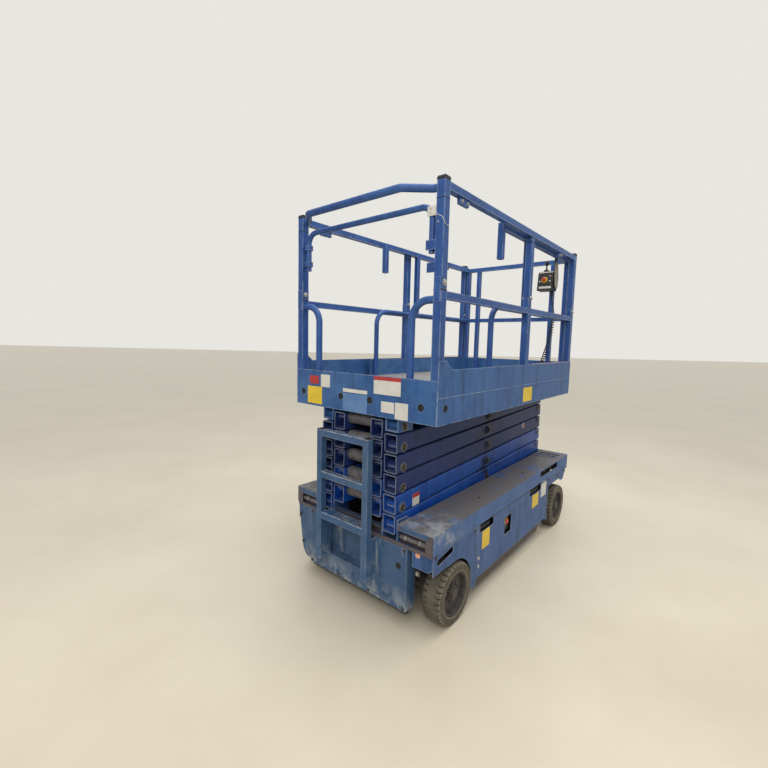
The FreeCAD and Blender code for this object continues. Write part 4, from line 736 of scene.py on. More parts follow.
def tread(centre, outward):
    """A tyre round one wheel centre; outward is the side that faces away from the machine."""
    columns = lugs * steps_per_lug
    points, coats = [], []
    for along, radius in section:
        bend = max(0.0, 1 - abs(abs(along) - kink_along) / kink_half) * kink_turn
        stagger = math.pi / lugs if along > 0 else 0.0
        for column in range(columns):
            depth = groove if is_lugged(along, radius) and column % steps_per_lug < 2 else 0.0
            angle = math.tau * column / columns + bend + stagger
            points.append(centre + spoke(AHEAD, UPWARD, angle) * (radius - depth) + Vector((0, along * outward, 0)))
    for row in range(len(section) - 1):
        dusty = 1 if min(row, len(section) - 2 - row) in dusty_rows else 0
        cut = is_lugged(*section[row]) and is_lugged(*section[row + 1])
        # Coat 2, on the groove floors, is painted shade.
        coats += [2 if cut and column % steps_per_lug == 0 else dusty for column in range(columns)]
    bench.take(points, bands(len(section), columns), coats)


for wheel in wheels:
    centre = places["spin_" + wheel]
    tread(centre, math.copysign(1, centre.y))
    tyre = bench.leave(f"tread_{wheel}", f"wheel_{wheel}", tyre_coats, 38.0)
    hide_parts(f"tyre_{wheel}")

# %% [markdown]
# ## Wheel nuts and hub rings
# Eight nuts hold each wheel. They sit in the dish of the rim on a raised ring, and a rolled lip closes the
# rim's edge against the rubber. All of it is turned or six-sided, and leaves the bench as one piece.

# %% Bolt on the wheels
nut_circle = 0.0575
hub_rings = [
    (0.5678, 32, [(0, 0.069), (0.0035, 0.067), (0.0035, 0.0475), (0, 0.0465)]),
    (0.5885, 64, [(0, 0.1298), (0.006, 0.1298), (0.0078, 0.128), (0.006, 0.124), (0, 0.1225)]),
    (0.582, 32, [(0, 0.0455), (0.003, 0.044), (0.003, 0.0335), (0, 0.033)]),
]
for wheel in wheels:
    centre = places["spin_" + wheel]
    sign = math.copysign(1, centre.y)
    for y, sides, outline in hub_rings:
        lathe((centre.x, sign * y, centre.z), (0, sign, 0), outline, sides)
    for number in range(8):
        spot = centre + spoke(AHEAD, UPWARD, math.tau * number / 8 + 0.2) * nut_circle
        bolt((spot.x, sign * 0.5712, spot.z), (0, sign, 0), 0.0145, 0.01, 1, False)
    bench.leave(f"nuts_{wheel}", f"wheel_{wheel}", [rim_paint, grimy_steel])

# %% [markdown]
# ## Pins of the scissor stack
# Every joint of the stack shows the end of its pin. At the rear and front ends the pin is held by a
# retaining ring, pale where grease has rubbed it bright, with a small bolt in its hollow centre; the hollow
# is a dark disc of painted shade. The middle pins carry a plain six-sided head. Each one moves with the arm
# that its pin is welded to.

# %% Fit the rings and heads
foot_pin = places["lift"]
stage = places["stage_2"].z - foot_pin.z
rear_x, front_x = foot_pin.x, 2 * middle_x - foot_pin.x
arm_y, middle_pin_y = 0.3231, 0.3301
ring_profile = [(0.0, 0.0242), (0.0024, 0.0236), (0.003, 0.0225), (0.003, 0.0178), (0.0006, 0.0165)]
pin_coats = [brass, hollow_shade, grimy_steel, black_plastic]


def pin_end(x, sign, level):
    """A retaining ring round a hollow, a dark disc of painted shade, with a bolt in it, at the end of a pin."""
    place, outward = Vector((x, sign * arm_y, foot_pin.z + stage * level)), Vector((0, sign, 0))
    lathe(place, outward, ring_profile, 28)
    # The dark disc inside the ring is painted shade of the hollow.
    lathe(place, outward, disc(0.0007, 0.0168), 20, 1)
    bolt(place + outward * 0.0006, outward, 0.011, 0.0032, 2, False)


for level in range(1, 6):
    for sign in (LEFT, RIGHT):
        pin_end(rear_x, sign, level)
        if level > 1:
            pin_end(front_x, sign, level - 1)
        middle = (middle_x, sign * middle_pin_y, foot_pin.z + stage * (level - 0.5))
        bolt(middle, (0, sign, 0), 0.03, 0.011, 3)
    bench.leave(f"pin_ends_{level}", f"inner_{level}", pin_coats)
for sign in (LEFT, RIGHT):
    pin_end(front_x, sign, 5)
bench.leave("pin_ends_top", "outer_5", pin_coats[:3])

# %% [markdown]
# ## Blank plates
# The plates on the machine are kept blank, each in its own colour: thin, with a bevelled edge and rounded
# corners, standing a hair off the steel. A list of their edges is all that changes from one to the next.

# %% Stick on the plates
WHITE, YELLOW, RED, BLUE = range(4)
BACK = (-1, 0, 0)
plate_finishes = [white_plate, yellow_plate, red_plate, blue_plate]
rear_list = [(0.471, 0.325, 1.265, 1.383, YELLOW), (0.336, 0.247, 1.385, 1.469, WHITE),
             (0.45, 0.357, 1.4, 1.455, RED), (0.124, -0.086, 1.372, 1.395, WHITE),
             (0.122, -0.086, 1.25, 1.366, BLUE), (-0.138, -0.342, 1.385, 1.468, WHITE),
             (-0.138, -0.342, 1.468, 1.49, RED), (-0.198, -0.297, 1.281, 1.346, WHITE),
             (-0.303, -0.397, 1.254, 1.35, WHITE)]
door_list = [(-0.534, -0.427, 0.335, 0.46, YELLOW), (0.355, 0.49, 0.345, 0.455, YELLOW),
             (0.55, 0.675, 0.385, 0.505, WHITE)]

for y0, y1, z0, z1, coat in rear_list:
    sticker((skirt_x - hair, y0, z0), (0, y1 - y0, 0), (0, 0, z1 - z0), BACK, coat, 0.004)
for sign in (LEFT, RIGHT):
    side_sticker(sign, skirt_y, 0.021, 0.19, 1.27, 1.377, YELLOW)
bench.leave("platform_plates", "platform", plate_finishes)
for side, sign in SIDES:
    for edges in door_list:
        side_sticker(sign, door_y, *edges)
    bench.leave(f"door_{side}_plates", f"door_{side}", plate_finishes)

# %% [markdown]
# The arms carry two small ones: a white label with a red band, which leans with its arm, and a white ring
# round a red middle.

# %% Stick the small labels on the arms
small_coats = [white_plate, red_plate]
for y, z, height, coat in ((-0.3202, 0.684, 0.078, 0), (-0.3208, 0.736, 0.026, 1)):
    sticker((-0.965, y, z), (0.072, 0, 0.004), (0, 0, height), (0, -1, 0), coat, 0.004)
bench.leave("arm_label", "outer_2", small_coats)
white_ring = [(0, 0.024), (0.001, 0.0235), (0.001, 0.017), (0.001, 0.016)]
for coat, outline in enumerate((white_ring, disc(0.001, 0.0165))):
    lathe((0.754, -0.32, 0.95), (0, -1, 0), outline, 32, coat)
bench.leave("ring_sign", "outer_3", small_coats)

# %% [markdown]
# ## Floors with raised lozenges
# Both floors are chequer plate. On the real plate the lozenges are rolled in; here one small lozenge is
# repeated over the floor, turned one way and then the other. The part of the lower floor that the roll-out
# deck slides over stays plain, so that nothing rubs.

# %% Roll the lozenges
lozenge_length, lozenge_width, lozenge_height = 0.0125, 0.004, 0.0012


def lozenges(name, body, x0, x1, y0, y1, z, pitch):
    """Rows of small pointed bumps, each turned the other way from its neighbours."""
    columns, rows = int((x1 - x0) / pitch), int((y1 - y0) / pitch)
    for i in range(columns + 1):
        for j in range(rows + 1):
            middle = Vector((x0 + (x1 - x0) * i / columns, y0 + (y1 - y0) * j / rows, z))
            angle = math.radians(45 if (i + j) % 2 else -45)
            ahead = Vector((math.cos(angle), math.sin(angle), 0)) * lozenge_length
            side = Vector((-math.sin(angle), math.cos(angle), 0)) * lozenge_width
            base = [middle + ahead, middle + side, middle - ahead, middle - side]
            top = [middle + (point - middle) * 0.55 + Vector((0, 0, lozenge_height)) for point in base]
            bench.take(base + top, bands(2, 4) + ends(2, 4)[1:])
    bench.leave(name, body, [tread_steel])


lozenges("floor_lozenges", "platform", -1.09, -0.48, -0.52, 0.52, 1.3979, 0.036)
lozenges("deck_lozenges", "extension", -0.41, 1.08, -0.49, 0.49, 1.4119, 0.04)

# %% [markdown]
# ## Steps that grip
# The ladder's rungs are square tubes with a row of punched, raised holes, which keep a boot from slipping.
# The deep step has three such rows. A punched hole is a low cone with its point cut off, and its dark
# middle is a disc of painted shade.

# %% Punch the steps
hole_pitch = 0.032
hole_outline = [(0, 0.0092), (0.0022, 0.0064), (0.0022, 0.0048), (0.0002, 0.0044)]
for xs, y0, y1, z in (((-1.211, -1.189), -0.115, 0.216, 1.12), ((-1.211, -1.189), -0.115, 0.216, 0.845),
                      ((-1.207, -1.184, -1.161), -0.1, 0.13, 0.57)):
    count = int((y1 - y0) / hole_pitch)
    for x in xs:
        for number in range(count + 1):
            spot = (x, y0 + (y1 - y0) * number / count, z)
            lathe(spot, (0, 0, 1), hole_outline, 14)
            # The dark disc in each hole is painted shade.
            lathe(spot, (0, 0, 1), disc(0.0003, 0.0046), 14, 1)
for y0, y1 in ((-0.174, -0.134), (0.235, 0.275)):
    block((-1.2215, y0, 1.12), (-1.1785, y1, 1.1245), 0.0015, 2)
bench.leave("ladder_grip", "chassis", [tread_steel, hollow_shade, black_plastic])

# %% [markdown]
# ## Rear cover, reflector and latches
# The cover at the back hangs on screws along its edge and shuts with a quarter-turn latch. Beside it, under
# the beam, an amber reflector sits on a small bracket. The side doors hang on hinges whose leaves are
# screwed to the pillar.

# %% Fit the cover's screws, latch and reflector
for y in (-0.395, -0.12, 0.15, 0.42):
    for z in (0.133, 0.49):
        bolt((cover_x - hair, y, z), BACK, 0.013, 0.006)
lathe((cover_x - hair, -0.355, 0.385), BACK,
      [(0, 0.019), (0.003, 0.0185), (0.004, 0.0165), (0.004, 0.0115), (0.0018, 0.0105), (0.0018, 0)], 28, 1)
block((-1.1405, -0.357, 0.376), (-1.136, -0.353, 0.394), 0.0008, 1)
bench.leave("cover_fittings", "chassis", [grimy_steel, black_plastic])
block((-1.116, -0.504, 0.47), (-1.112, -0.456, 0.506), 0.0008, 1)
lathe((-1.116, -0.48, 0.488), BACK,
      [(0, 0.0165), (0.004, 0.0165), (0.0055, 0.015), (0.0055, 0.0135), (0.0065, 0.008), (0.0068, 0)], 28)
bench.leave("reflector", "chassis", [amber_lens, black_plastic])

# %% Fit the screws and latches of the sides
screw_outline = [(0, 0.006), (0.0012, 0.0058), (0.0024, 0.004), (0.0024, 0)]
latch_outline = [(0, 0.0125), (0.0022, 0.012), (0.003, 0.0105), (0.003, 0.006), (0.0012, 0.0055), (0.0012, 0)]
side_y = door_y + hair
for sign in (LEFT, RIGHT):
    for z in (0.222, 0.238, 0.452, 0.468):
        lathe((0.72, sign * side_y, z), (0, sign, 0), screw_outline, 16)
    for x, z in ((0.765, 0.49), (0.96, 0.49), (1.16, 0.49), (-1.09, 0.5), (-0.64, 0.5)):
        bolt((x, sign * side_y, z), (0, sign, 0), 0.013, 0.006)
bench.leave("side_screws", "chassis", [grimy_steel])
for side, sign in SIDES:
    for z in (0.235, 0.29):
        lathe((-0.575, sign * side_y, z), (0, sign, 0), latch_outline)
    bench.leave(f"door_latch_{side}", f"door_{side}", [zinc])

# %% [markdown]
# ## Behind the doors
# The side doors hide the batteries. A window in each door leaves one control in reach: a red stop button on
# the right, a charging socket on the left. The battery tubs have ribs, a lid seam and webbing handles.

# %% Fit the switch boxes and the battery ribs
tub_y = 0.5512
ring_outline = [(0, 0.024), (0.0015, 0.0235), (0.0015, 0.014)]
button_outline = [(0.0015, 0.012), (0.005, 0.012), (0.0058, 0.0185), (0.0085, 0.0185), (0.011, 0.015),
                  (0.0118, 0.008), (0.0118, 0)]
socket_outline = [(0, 0.026), (0.006, 0.0255), (0.0075, 0.024), (0.0075, 0.02), (0.002, 0.019), (0.002, 0)]


def side_block(sign, x0, x1, y0, y1, z0, z1, edge, coat=0):
    """A block on one side of the machine, with both y counted outwards from the middle."""
    low_y, high_y = sorted((sign * y0, sign * y1))
    block((x0, low_y, z0), (x1, high_y, z1), edge, coat)


for side, sign in SIDES:
    side_block(sign, -0.172, -0.072, tub_y, 0.57, 0.33, 0.432, 0.003)
    dials = ((ring_outline, 2), (button_outline, 1)) if sign == RIGHT else ((socket_outline, 0),)
    for outline, coat in dials:
        lathe((-0.116, sign * 0.57, 0.39), (0, sign, 0), outline, 28, coat)
    bench.leave(f"switch_box_{side}", "chassis", [black_plastic, signal_red, yellow_plate])
    for x in [-0.53 + 0.095 * number for number in range(13)]:
        if not -0.2 < x < -0.05:
            side_block(sign, x, x + 0.014, tub_y, 0.556, 0.165, 0.345, 0.0015)
    for x in (-0.44, 0.18, 0.47):
        side_block(sign, x - 0.06, x + 0.06, tub_y, 0.56, 0.36, 0.372, 0.0015, 1)
    bench.leave(f"battery_ribs_{side}", "chassis", [battery_case, black_rubber])

# %% [markdown]
# ## Posts, gate and rails
# Tube ends are closed with black caps, and the folding rails are held by bolts with spring pins. Where the
# upper frame stands on the lower posts, and under each cap, a black collar shows.

# %% Cap the posts, fit the collars and bolt the rails
post_y = 0.5607
rear_post, middle_post, front_post = places["gate_swing"].x, 0.07, 1.1
post_top = box_of("upper_frames")[1].z


def round_posts(x, half, low, high, edge):
    """A square collar or cap round the left and the right post at one place along."""
    pair((x - half, post_y - half, low), (x + half, post_y + half, high), edge)


for x in (rear_post, front_post):
    round_posts(x, 0.0248, post_top, post_top + 0.0055, 0.0022)
bench.leave("post_caps", "platform", [black_plastic])
for x, half, low, high, edge in (
        (rear_post, 0.0262, 1.9655, 1.9725, 0.001), (rear_post, 0.0262, 2.516, 2.529, 0.001),
        (front_post, 0.0262, 1.9655, 1.9725, 0.001), (front_post, 0.0262, 2.516, 2.529, 0.001),
        (rear_post, 0.0258, 2.425, 2.429, 0.0008), (middle_post, 0.0242, 2.432, 2.438, 0.0008),
        (middle_post, 0.0242, 2.466, 2.473, 0.0008)):
    round_posts(x, half, low, high, edge)
bench.leave("post_collars", "platform", [black_rubber])
for sign in (LEFT, RIGHT):
    for x, z in ((rear_post, 2.005), (middle_post, 2.036), (front_post, 2.005)):
        bolt((x, sign * 0.5858, z), (0, sign, 0), 0.022, 0.01)
        bolt((x, sign * 0.5356, z), (0, -sign, 0), 0.02, 0.009)
bench.leave("fold_bolts", "platform", [zinc])

# %% [markdown]
# Short brackets hang under the top rails. A loop is tied round the right rear post, and the gate's free leg
# carries a blank plate and drops in behind a catch on the post. The loop is a rounded square in plan: a
# circle whose sine and cosine are raised to a small power.

# %% Fit the brackets, the catch plate and the tie loop
for sign in (LEFT, RIGHT):
    for x0, x1, z0, z1 in ((-0.96, -0.86, 2.438, 2.476), (0.68, 0.76, 2.444, 2.476)):
        side_block(sign, x0, x1, 0.548, 0.572, z0, z1, 0.005)
        for x in (x0 + 0.02, x1 - 0.02):
            bolt((x, sign * 0.572, (z0 + z1) / 2), (0, sign, 0), 0.012, 0.006, 1)
bench.leave("rail_brackets", "platform", [rail_blue, zinc])
block((-1.122, -0.5362, 2.061), (-1.116, -0.477, 2.113), 0.002)
bolt((-1.1222, -0.52, 2.087), BACK, 0.012, 0.006)
bench.leave("gate_catch", "platform", [rail_blue])
block((-1.134, -0.533, 2.345), (-1.131, -0.48, 2.394), 0.001)
block((-1.1312, -0.512, 2.352), (-1.123, -0.49, 2.387), 0.001, 1)
for z in (2.359, 2.38):
    lathe((-1.134, -0.501, z), BACK, [(0, 0.004), (0.0015, 0.0032), (0.0015, 0)], 14, 1)
bench.leave("gate_plate", "gate", [white_plate, zinc])

loop_half, loop_power, loop_steps = 0.0275, 0.42, 32
loop = []
for number in range(loop_steps + 1):
    angle = math.tau * number / loop_steps
    across, along = math.cos(angle), math.sin(angle)
    dx, dy = [math.copysign(abs(part) ** loop_power, part) * loop_half for part in (across, along)]
    loop.append(Vector((rear_post + dx, -post_y + dy, 2.328 + 0.036 * along - 0.01 * across)))
sweep(loop, 0.0016, 6)
block((-1.1405, -0.556, 2.304), (-1.137, -0.55, 2.311), 0.0008)
bench.leave("tie_loop", "platform", [white_plate])

# %% [markdown]
# The skirt has round holes, a folded seam along each side at floor height, and a strip of red and white
# tape on the front half of each side's upper edge. Each hole holds a black lining and a dark disc: painted
# shade, where the hole is dark inside.

# %% Line the holes and tape the edges
hole_z = 1.34
holes = [((skirt_x, y, hole_z), (1, 0, 0), 0.0016) for y in (0.515, 0.144, -0.107, -0.482)]
holes += [((-1.06, sign * skirt_y, hole_z), (0, -sign, 0), 0.002) for sign in (LEFT, RIGHT)]
for place, inward, depth in holes:
    # The black lining and the dark disc in each hole are painted shade.
    lathe(place, inward, [(0.0004, 0.022), (-0.0008, 0.0216), (-0.0008, 0.02), (depth, 0.0196)], 28)
    lathe(place, inward, disc(depth - hair, 0.0198), 28, 1)
bench.leave("hole_shade_linings", "platform", [black_rubber, hollow_shade])
pair((-1.138, skirt_y - hair, 1.3975), (1.128, skirt_y + 0.0016, 1.4015), 0.0008)
bench.leave("skirt_seams", "platform", [sky_blue])

tape_start, tape_step = 0.142, 0.041
for number in range(24):
    x = tape_start + number * tape_step
    pair((x, 0.5755, 1.5488), (x + tape_step, 0.5905, 1.55), 0.0003, number % 2)
bench.leave("edge_tape", "platform", [red_plate, white_plate])

# %% [markdown]
# ## Inside the rear beam and between the arms
# The rear beam is a channel that is open to the back, and a pipe lies in each end of it. The blue lip of the
# ledge folds down over the channel's upper edge, so a thin painted strip stands for it. Between the inner
# arms the cross tubes have lost their paint to grease and dust, so a thin grey sleeve stands for that
# surface. A grease nipple sits on each.

# %% Add the pipes and the sleeves
pipe_x, pipe_z, pipe_low, pipe_high = -1.1075, 0.556, 0.345, 0.537
reach = pipe_high - pipe_low
half_pipe = [(0, 0), (0, 0.011), (0.004, 0.015), (0.01, 0.0152)]
pipe_outline = half_pipe + [(reach - along, radius) for along, radius in reversed(half_pipe)]
band_outline = [(0, 0.015), (0, 0.0162), (0.012, 0.0162), (0.012, 0.015)]
for start in (pipe_low, -pipe_high):
    lathe((pipe_x, start, pipe_z), (0, 1, 0), pipe_outline)
    for offset in (0.04, reach - 0.05):
        lathe((pipe_x, start + offset, pipe_z), (0, 1, 0), band_outline, 24, 1)
bench.leave("beam_pipes", "chassis", [tube_grime, old_plastic])
pair((-1.1312, 0.362, 0.5985), (-1.1302, 0.548, 0.629), 0.0004)
bench.leave("ledge_lips", "chassis", [cover_finish])

tube_radius, tube_half = 0.0386, 0.1105
sleeve_outline = [(0, 0.0382), (0.001, 0.039), (0.018, 0.039), (0.02, tube_radius), (0.201, tube_radius),
                  (0.203, 0.039), (0.22, 0.039), (0.221, 0.0382)]
nipple_outline = [(-0.001, 0.0045), (0.004, 0.0045), (0.005, 0.0028), (0.009, 0.003), (0.01, 0)]
nipple_out = Vector((-0.8, 0, 0.6))
for level in range(1, 6):
    for x, rise in ((rear_x, level), (front_x, level - 1)):
        if rise > 0:
            centre = Vector((x, 0, foot_pin.z + stage * rise))
            lathe(centre - Vector((0, tube_half, 0)), (0, 1, 0), sleeve_outline, 36)
            nipple = centre + nipple_out * tube_radius + Vector((0, 0.03, 0))
            lathe(nipple, nipple_out, nipple_outline, 12, 1)
    bench.leave(f"cross_sleeves_{level}", f"inner_{level}", [tube_grime, brass])

# %% [markdown]
# ## Around the chassis
# On the left the gap behind the rear wheel is shut by a guard plate with rounded corners; on the right it is
# open. A dark rubber bar closes the gap under the rear cover. The guard is cut from an outline, as a laser
# would cut it: a list of corners, each with the radius of its rounding.

# %% Fit the guard and the under-bar
def rounded(corners, steps=5):
    """An outline whose corners (y, z, radius) are rounded."""
    result = []
    spots = [Vector(corner[:2]) for corner in corners]
    for index, here in enumerate(spots):
        before, after = [(spot - here).normalized() * corners[index][2]
                         for spot in (spots[index - 1], spots[(index + 1) % len(spots)])]
        for step in range(steps + 1):
            t = step / steps
            result.append((here + before) * (1 - t) ** 2 + here * 2 * t * (1 - t) + (here + after) * t * t)
    return result


def slab(outline, x, thick, edge):
    """A plate across the machine, given by its outline in Y and Z, with broken edges."""
    count = len(outline)
    middle = sum(outline, Vector((0, 0))) / count
    points = []
    for at, inset in ((x, edge), (x + edge, 0.0), (x + thick - edge, 0.0), (x + thick, edge)):
        points += [(at, *(point + (middle - point).normalized() * inset)) for point in outline]
    bench.take(points, bands(4, count) + ends(4, count))


slab(rounded([(0.442, 0.504, 0.004), (0.566, 0.504, 0.012), (0.564, 0.4, 0.06), (0.53, 0.19, 0.028),
              (0.498, 0.14, 0.022), (0.442, 0.13, 0.004)]), -1.13, 0.006, 0.0015)
for y, z in ((0.552, 0.438), (0.524, 0.239)):
    bolt((-1.13, y, z), BACK, 0.017, 0.009, 1)
for low_z, high_z in ((0.43, 0.5), (0.16, 0.22)):
    block((-1.124, 0.442, low_z), (-1.05, 0.448, high_z), 0.001)
bench.leave("left_guard", "chassis", [cover_finish, grimy_steel])
block((-1.118, -0.41, 0.093), (-1.09, 0.432, 0.119), 0.004)
for y in (-0.36, -0.12, 0.12, 0.38):
    bolt((-1.1182, y, 0.106), BACK, 0.012, 0.006, 1)
bench.leave("under_bar", "chassis", [black_rubber, grimy_steel])

# %% [markdown]
# Behind the notches of the doors and behind the slot in the ledge's side there is machinery in shade, kept
# here to dark liners of painted shade with a few boxes and hose ends.

# %% Line the notches and the slot
slot_floor = 0.578
boxes = ((0.545, 0.034, 2), (0.61, 0.026, 1), (0.665, 0.036, 3), (0.74, 0.028, 1), (0.8, 0.024, 3),
         (0.86, 0.03, 1))
hose_end = [(0, 0.007), (0.006, 0.007), (0.008, 0.005), (0.008, 0)]
for x0, x1 in ((-0.578, -0.362), (0.286, 0.556)):
    # The dark liners are painted shade behind the notches and the slot.
    pair((x0, 0.556, 0.448), (x1, 0.56, 0.516), 0.001)
    pair((x0 + 0.03, 0.56, 0.462), (x1 - 0.04, 0.572, 0.49), 0.003, 1)
pair((0.48, 0.52, 0.47), (0.962, 0.524, 0.626), 0.001)
for x, height, coat in boxes:
    pair((x, 0.524, slot_floor), (x + 0.044, 0.566, slot_floor + height), 0.004, coat)
    for sign in (LEFT, RIGHT):
        lathe((x + 0.022, sign * 0.5655, slot_floor + height / 2), (0, sign, 0), hose_end, 16, 1)
bench.leave("shade_liners", "chassis", [hollow_shade, black_rubber, white_plate, tube_grime])

# %% [markdown]
# ## The control box
# The machine is steered from a box that hooks over the right top rail. Its face leans back a little and
# carries a red stop button on a yellow ring, two switches and a blank strip. A short lever stands on the
# lid in a rubber boot. Everything on the face is placed by how far across and how high it sits.

# %% Fit out the control box
face_foot_x, face_foot_z, face_lean, face_height = 0.815, 2.185, 0.024, 0.165
face_tilt = math.atan2(face_lean, face_height)
face_out = Vector((-math.cos(face_tilt), 0, math.sin(face_tilt)))
face_up = Vector((math.sin(face_tilt), 0, math.cos(face_tilt)))
lid_z = 2.353
stop_outline = [(0.001, 0.011), (0.01, 0.011), (0.011, 0.0175), (0.017, 0.0175), (0.0215, 0.014), (0.023, 0.007),
                (0.023, 0)]
face_parts = [(-0.407, 0.094, [(0, 0.0265), (0.002, 0.0255), (0.002, 0.014)], 32, 1),
              (-0.407, 0.094, stop_outline, 32, 2),
              (-0.456, 0.124, [(0, 0.006), (0.002, 0.006), (0.0035, 0.004), (0.004, 0)], 18, 4)]
face_parts += [(y, 0.078, [(0, 0.0085), (0.003, 0.0085), (0.004, 0.0045), (0.015, 0.003), (0.016, 0)], 18, 3)
               for y in (-0.456, -0.366)]
lever_outline = [(0, 0.03), (0.003, 0.03), (0.008, 0.025), (0.011, 0.0262), (0.016, 0.019), (0.019, 0.02),
                 (0.026, 0.012), (0.03, 0.007), (0.056, 0.0062), (0.06, 0.0105), (0.066, 0.015), (0.082, 0.0165),
                 (0.096, 0.015), (0.102, 0.008), (0.103, 0)]


def on_face(y, height):
    """A point on the leaning face, at a height above the box's foot."""
    lean = face_lean * height / face_height
    return Vector((face_foot_x + lean, y, face_foot_z + height)) + face_out * hair


def face_strip(y, height, width, tall, thick, coat, edge=0.0008):
    """A flat strip on the leaning face, its outer edges broken."""
    rows = []
    for lift, inset in ((0.0, 0.0), (thick, edge)):
        for u, v in ((inset, inset), (width - inset, inset), (width - inset, tall - inset), (inset, tall - inset)):
            rows.append(on_face(y, height) + Vector((0, u, 0)) + face_up * v + face_out * lift)
    bench.take(rows, bands(2, 4) + ends(2, 4), coat)


for y, height, outline, sides, coat in face_parts:
    lathe(on_face(y, height), face_out, outline, sides, coat)
face_strip(-0.47, 0.016, 0.105, 0.02, 0.0014, 5)
face_strip(-0.48, 0.156, 0.131, 0.0085, 0.002, 5)
block((0.84, -0.48, 2.3498), (0.934, -0.349, lid_z), 0.0012)
for x in (0.85, 0.924):
    for y in (-0.47, -0.359):
        lathe((x, y, lid_z), (0, 0, 1), [(0, 0.004), (0.0015, 0.0034), (0.0015, 0)], 14, 3)
lathe((0.89, -0.4, lid_z), (0, 0, 1), lever_outline, 28)
bench.leave("control_face", "extension", [black_plastic, yellow_plate, signal_red, zinc, amber_lens, white_plate])

# %% [markdown]
# An old rain cover is rolled up beside the box: a flat roll whose rings are pushed in and out at random.
# Where the lead leaves the box there is a tapered sleeve of softer rubber, which keeps it from kinking.

# %% Roll the rain cover and fit the lead's sleeve
rings, around = 22, 16
roll_width, roll_depth, roll_height, roll_lean, fold_share = 0.042, 0.0095, 0.225, 0.018, 0.22
roll_foot = Vector((0.886, -0.493, 2.205))
crumpled = []
for ring in range(rings + 1):
    share = ring / rings
    off_middle = abs(2 * share - 1)
    width = roll_width * (1 - 0.35 * off_middle ** 3)
    depth = roll_depth * (1 - 0.5 * off_middle ** 4)
    for number in range(around):
        angle = math.tau * number / around
        fold = 1 + random.uniform(-fold_share, fold_share)
        crumpled.append(roll_foot + Vector((width * math.cos(angle) * fold - roll_lean * share,
                                            depth * math.sin(angle) * fold, roll_height * share)))
bench.take(crumpled, bands(rings + 1, around) + ends(rings + 1, around))
bench.leave("rain_cover", "extension", [old_plastic], 70.0)
relief_outline = [(-0.012, 0.0132), (0, 0.0132), (0.002, 0.0125), (0.01, 0.0105), (0.012, 0.0088),
                  (0.015, 0.0096), (0.019, 0.0078), (0.023, 0.0086), (0.028, 0.0068), (0.033, 0.0074),
                  (0.04, 0.0056), (0.04, 0.005)]
lathe((0.905, -0.455, 2.1672), (0, 0, -1), relief_outline, 20)
bench.leave("strain_relief", "extension", [black_rubber])

# %% [markdown]
# ## Small things on the ledges
# Two round drains are let into each ledge, each dark inside with a disc of painted shade, and a tab with a
# nut hangs below the right rear fender.

# %% Add the drains and the tab
for sign in (LEFT, RIGHT):
    for x in (0.355, -0.42):
        spot = (x, sign * 0.493, ledge_z)
        lathe(spot, (0, 0, 1), [(0, 0.013), (0.0012, 0.0125), (0.0012, 0.01), (0.0004, 0.0096)])
        # The dark disc in each drain is painted shade.
        lathe(spot, (0, 0, 1), disc(0.0005, 0.0098), 24, 1)
block((-1.112, -0.492, 0.356), (-1.106, -0.462, 0.39), 0.001)
bolt((-1.1122, -0.476, 0.372), BACK, 0.014, 0.008, 2)
bench.leave("deck_fittings", "chassis", [grimy_steel, hollow_shade, zinc])

# %% [markdown]
# ## Cylinder fittings
# Two hydraulic cylinders lie between the arms. Each barrel has two six-sided ports for its oil. Both follow
# from the joint along which the rod slides, so they sit right whatever the slope of the cylinder.

# %% Fit the ports
barrel_skin = 0.038
for level in ("lower", "upper"):
    stroke = next(joint for joint in frame["joints"] if joint["name"] == f"rod_{level}_stroke")
    along = Vector(stroke["axis"]).normalized()
    up = Vector((-along.z, 0, along.x))
    for step in (0.085, 0.6):
        bolt(Vector(stroke["pos_m"]) + along * step + up * barrel_skin, up, 0.022, 0.014)
    bench.leave(f"cylinder_ports_{level}", f"barrel_{level}", [zinc])

# %% [markdown]
# ## The room
# A pale sealed floor carries the shadow, with the faint drift and scuffs of a floor that is driven on.

# %% Lay the floor
floor_finish, tree, shader = new_finish("hall_floor")
drift = cloud(tree, 0.6, 5.0, 0.6)
tone = blend(tree, stretch(tree, drift, 0.35, 0.65), (206, 196, 174), (218, 209, 188))
scuffs = stretch(tree, cloud(tree, 3.0, 8.0, 0.75, (1.0, 0.25, 1.0)), 0.66, 0.72, 0.0, 0.25)
plug(tree, shader.inputs["Base Color"], blend(tree, scuffs, tone, (172, 160, 138)))
plug(tree, shader.inputs["Roughness"], stretch(tree, drift, 0.3, 0.7, 0.3, 0.42))
shader.inputs["Specular IOR Level"].default_value = 0.35

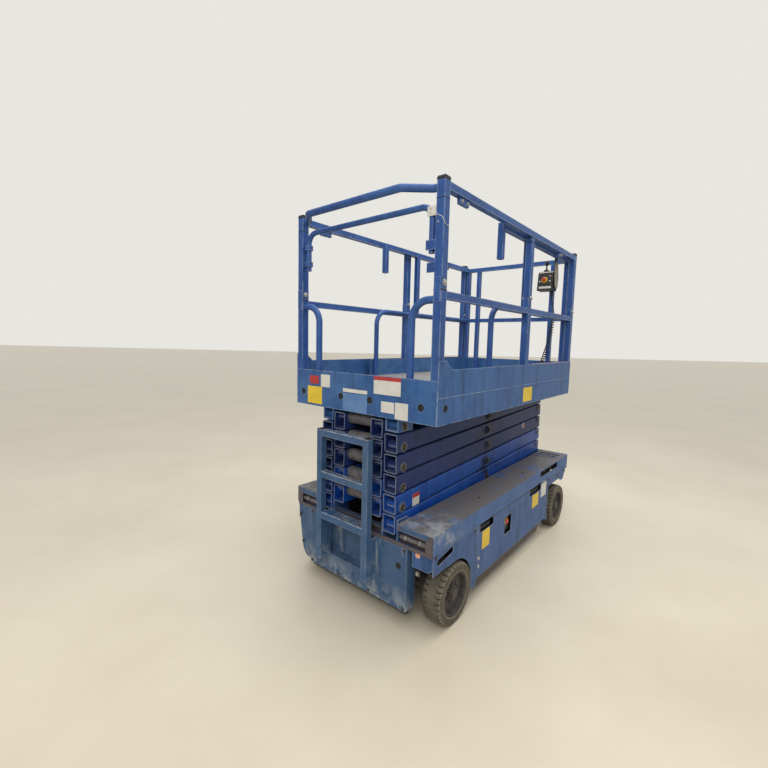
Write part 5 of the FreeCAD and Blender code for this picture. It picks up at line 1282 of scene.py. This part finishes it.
reach = 150.0
corners = [(-reach, -reach, 0), (reach, -reach, 0), (reach, reach, 0), (-reach, reach, 0)]
floor_mesh = bpy.data.meshes.new("floor")
floor_mesh.from_pydata(corners, [], [(0, 1, 2, 3)])
floor_mesh.materials.append(floor_finish)
floor = bpy.data.objects.new("floor", floor_mesh)
bpy.context.scene.collection.objects.link(floor)
print("floor", 2 * reach, "m wide")

# %% [markdown]
# Wide soft lamps hang over the machine, and a weak sun with a very wide disc stands for all the lamps that
# are further off. A pale sky fills in from all sides, but the camera, a mirror or a pane of glass sees a
# plain pale backdrop in its place, so that the fill can stay weak.

# %% Hang the lamps and the sky
def lamp(name, kind, power, tint, place=(0, 0, 0), aim=None, **settings):
    """A light; one that has an aim looks at that point."""
    data = bpy.data.lights.new(name, kind)
    data.energy, data.color = power, tint
    for key, value in settings.items():
        setattr(data, key, value)
    holder = bpy.data.objects.new(name, data)
    bpy.context.scene.collection.objects.link(holder)
    holder.location = place
    if aim:
        holder.rotation_euler = (Vector(aim) - Vector(place)).to_track_quat("-Z", "Y").to_euler()
    return holder


warm_white = (1.0, 0.98, 0.95)
lamp("lamp_rear", "AREA", 170, warm_white, (-6.0, -3.0, 4.5), (0, 0, 1.2), shape="RECTANGLE", size=4.0, size_y=3.0)
lamp("lamp_over", "AREA", 120, warm_white, (0.3, -0.4, 5.0), (0, 0, 1.0), shape="RECTANGLE", size=3.0, size_y=4.0)
sun = lamp("hall_light", "SUN", 1.0, (1.0, 0.98, 0.94), angle=math.radians(60))
sun.rotation_euler = (math.radians(14), math.radians(-16), 0)

world = bpy.context.scene.world or bpy.data.worlds.new("world")
bpy.context.scene.world = world
world.use_nodes = True
tree = world.node_tree
tree.nodes.clear()
rays = put(tree, "LightPath").outputs
seen = maths(tree, "ADD", rays["Is Camera Ray"], rays["Is Transmission Ray"])
seen = maths(tree, "ADD", seen, rays["Is Glossy Ray"])
fill = put(tree, "Background", {"Color": (0.93, 0.95, 1.0, 1.0), "Strength": 0.46})
backdrop = put(tree, "Background", {"Color": screen(232, 230, 224), "Strength": 1.0})
mixed_sky = put(tree, "MixShader", {0: seen, 1: fill.outputs[0], 2: backdrop.outputs[0]})
put(tree, "OutputWorld", {"Surface": mixed_sky.outputs[0]})
bpy.context.scene.view_settings.view_transform = "Standard"
print("lamps", [light.name for light in bpy.data.lights])
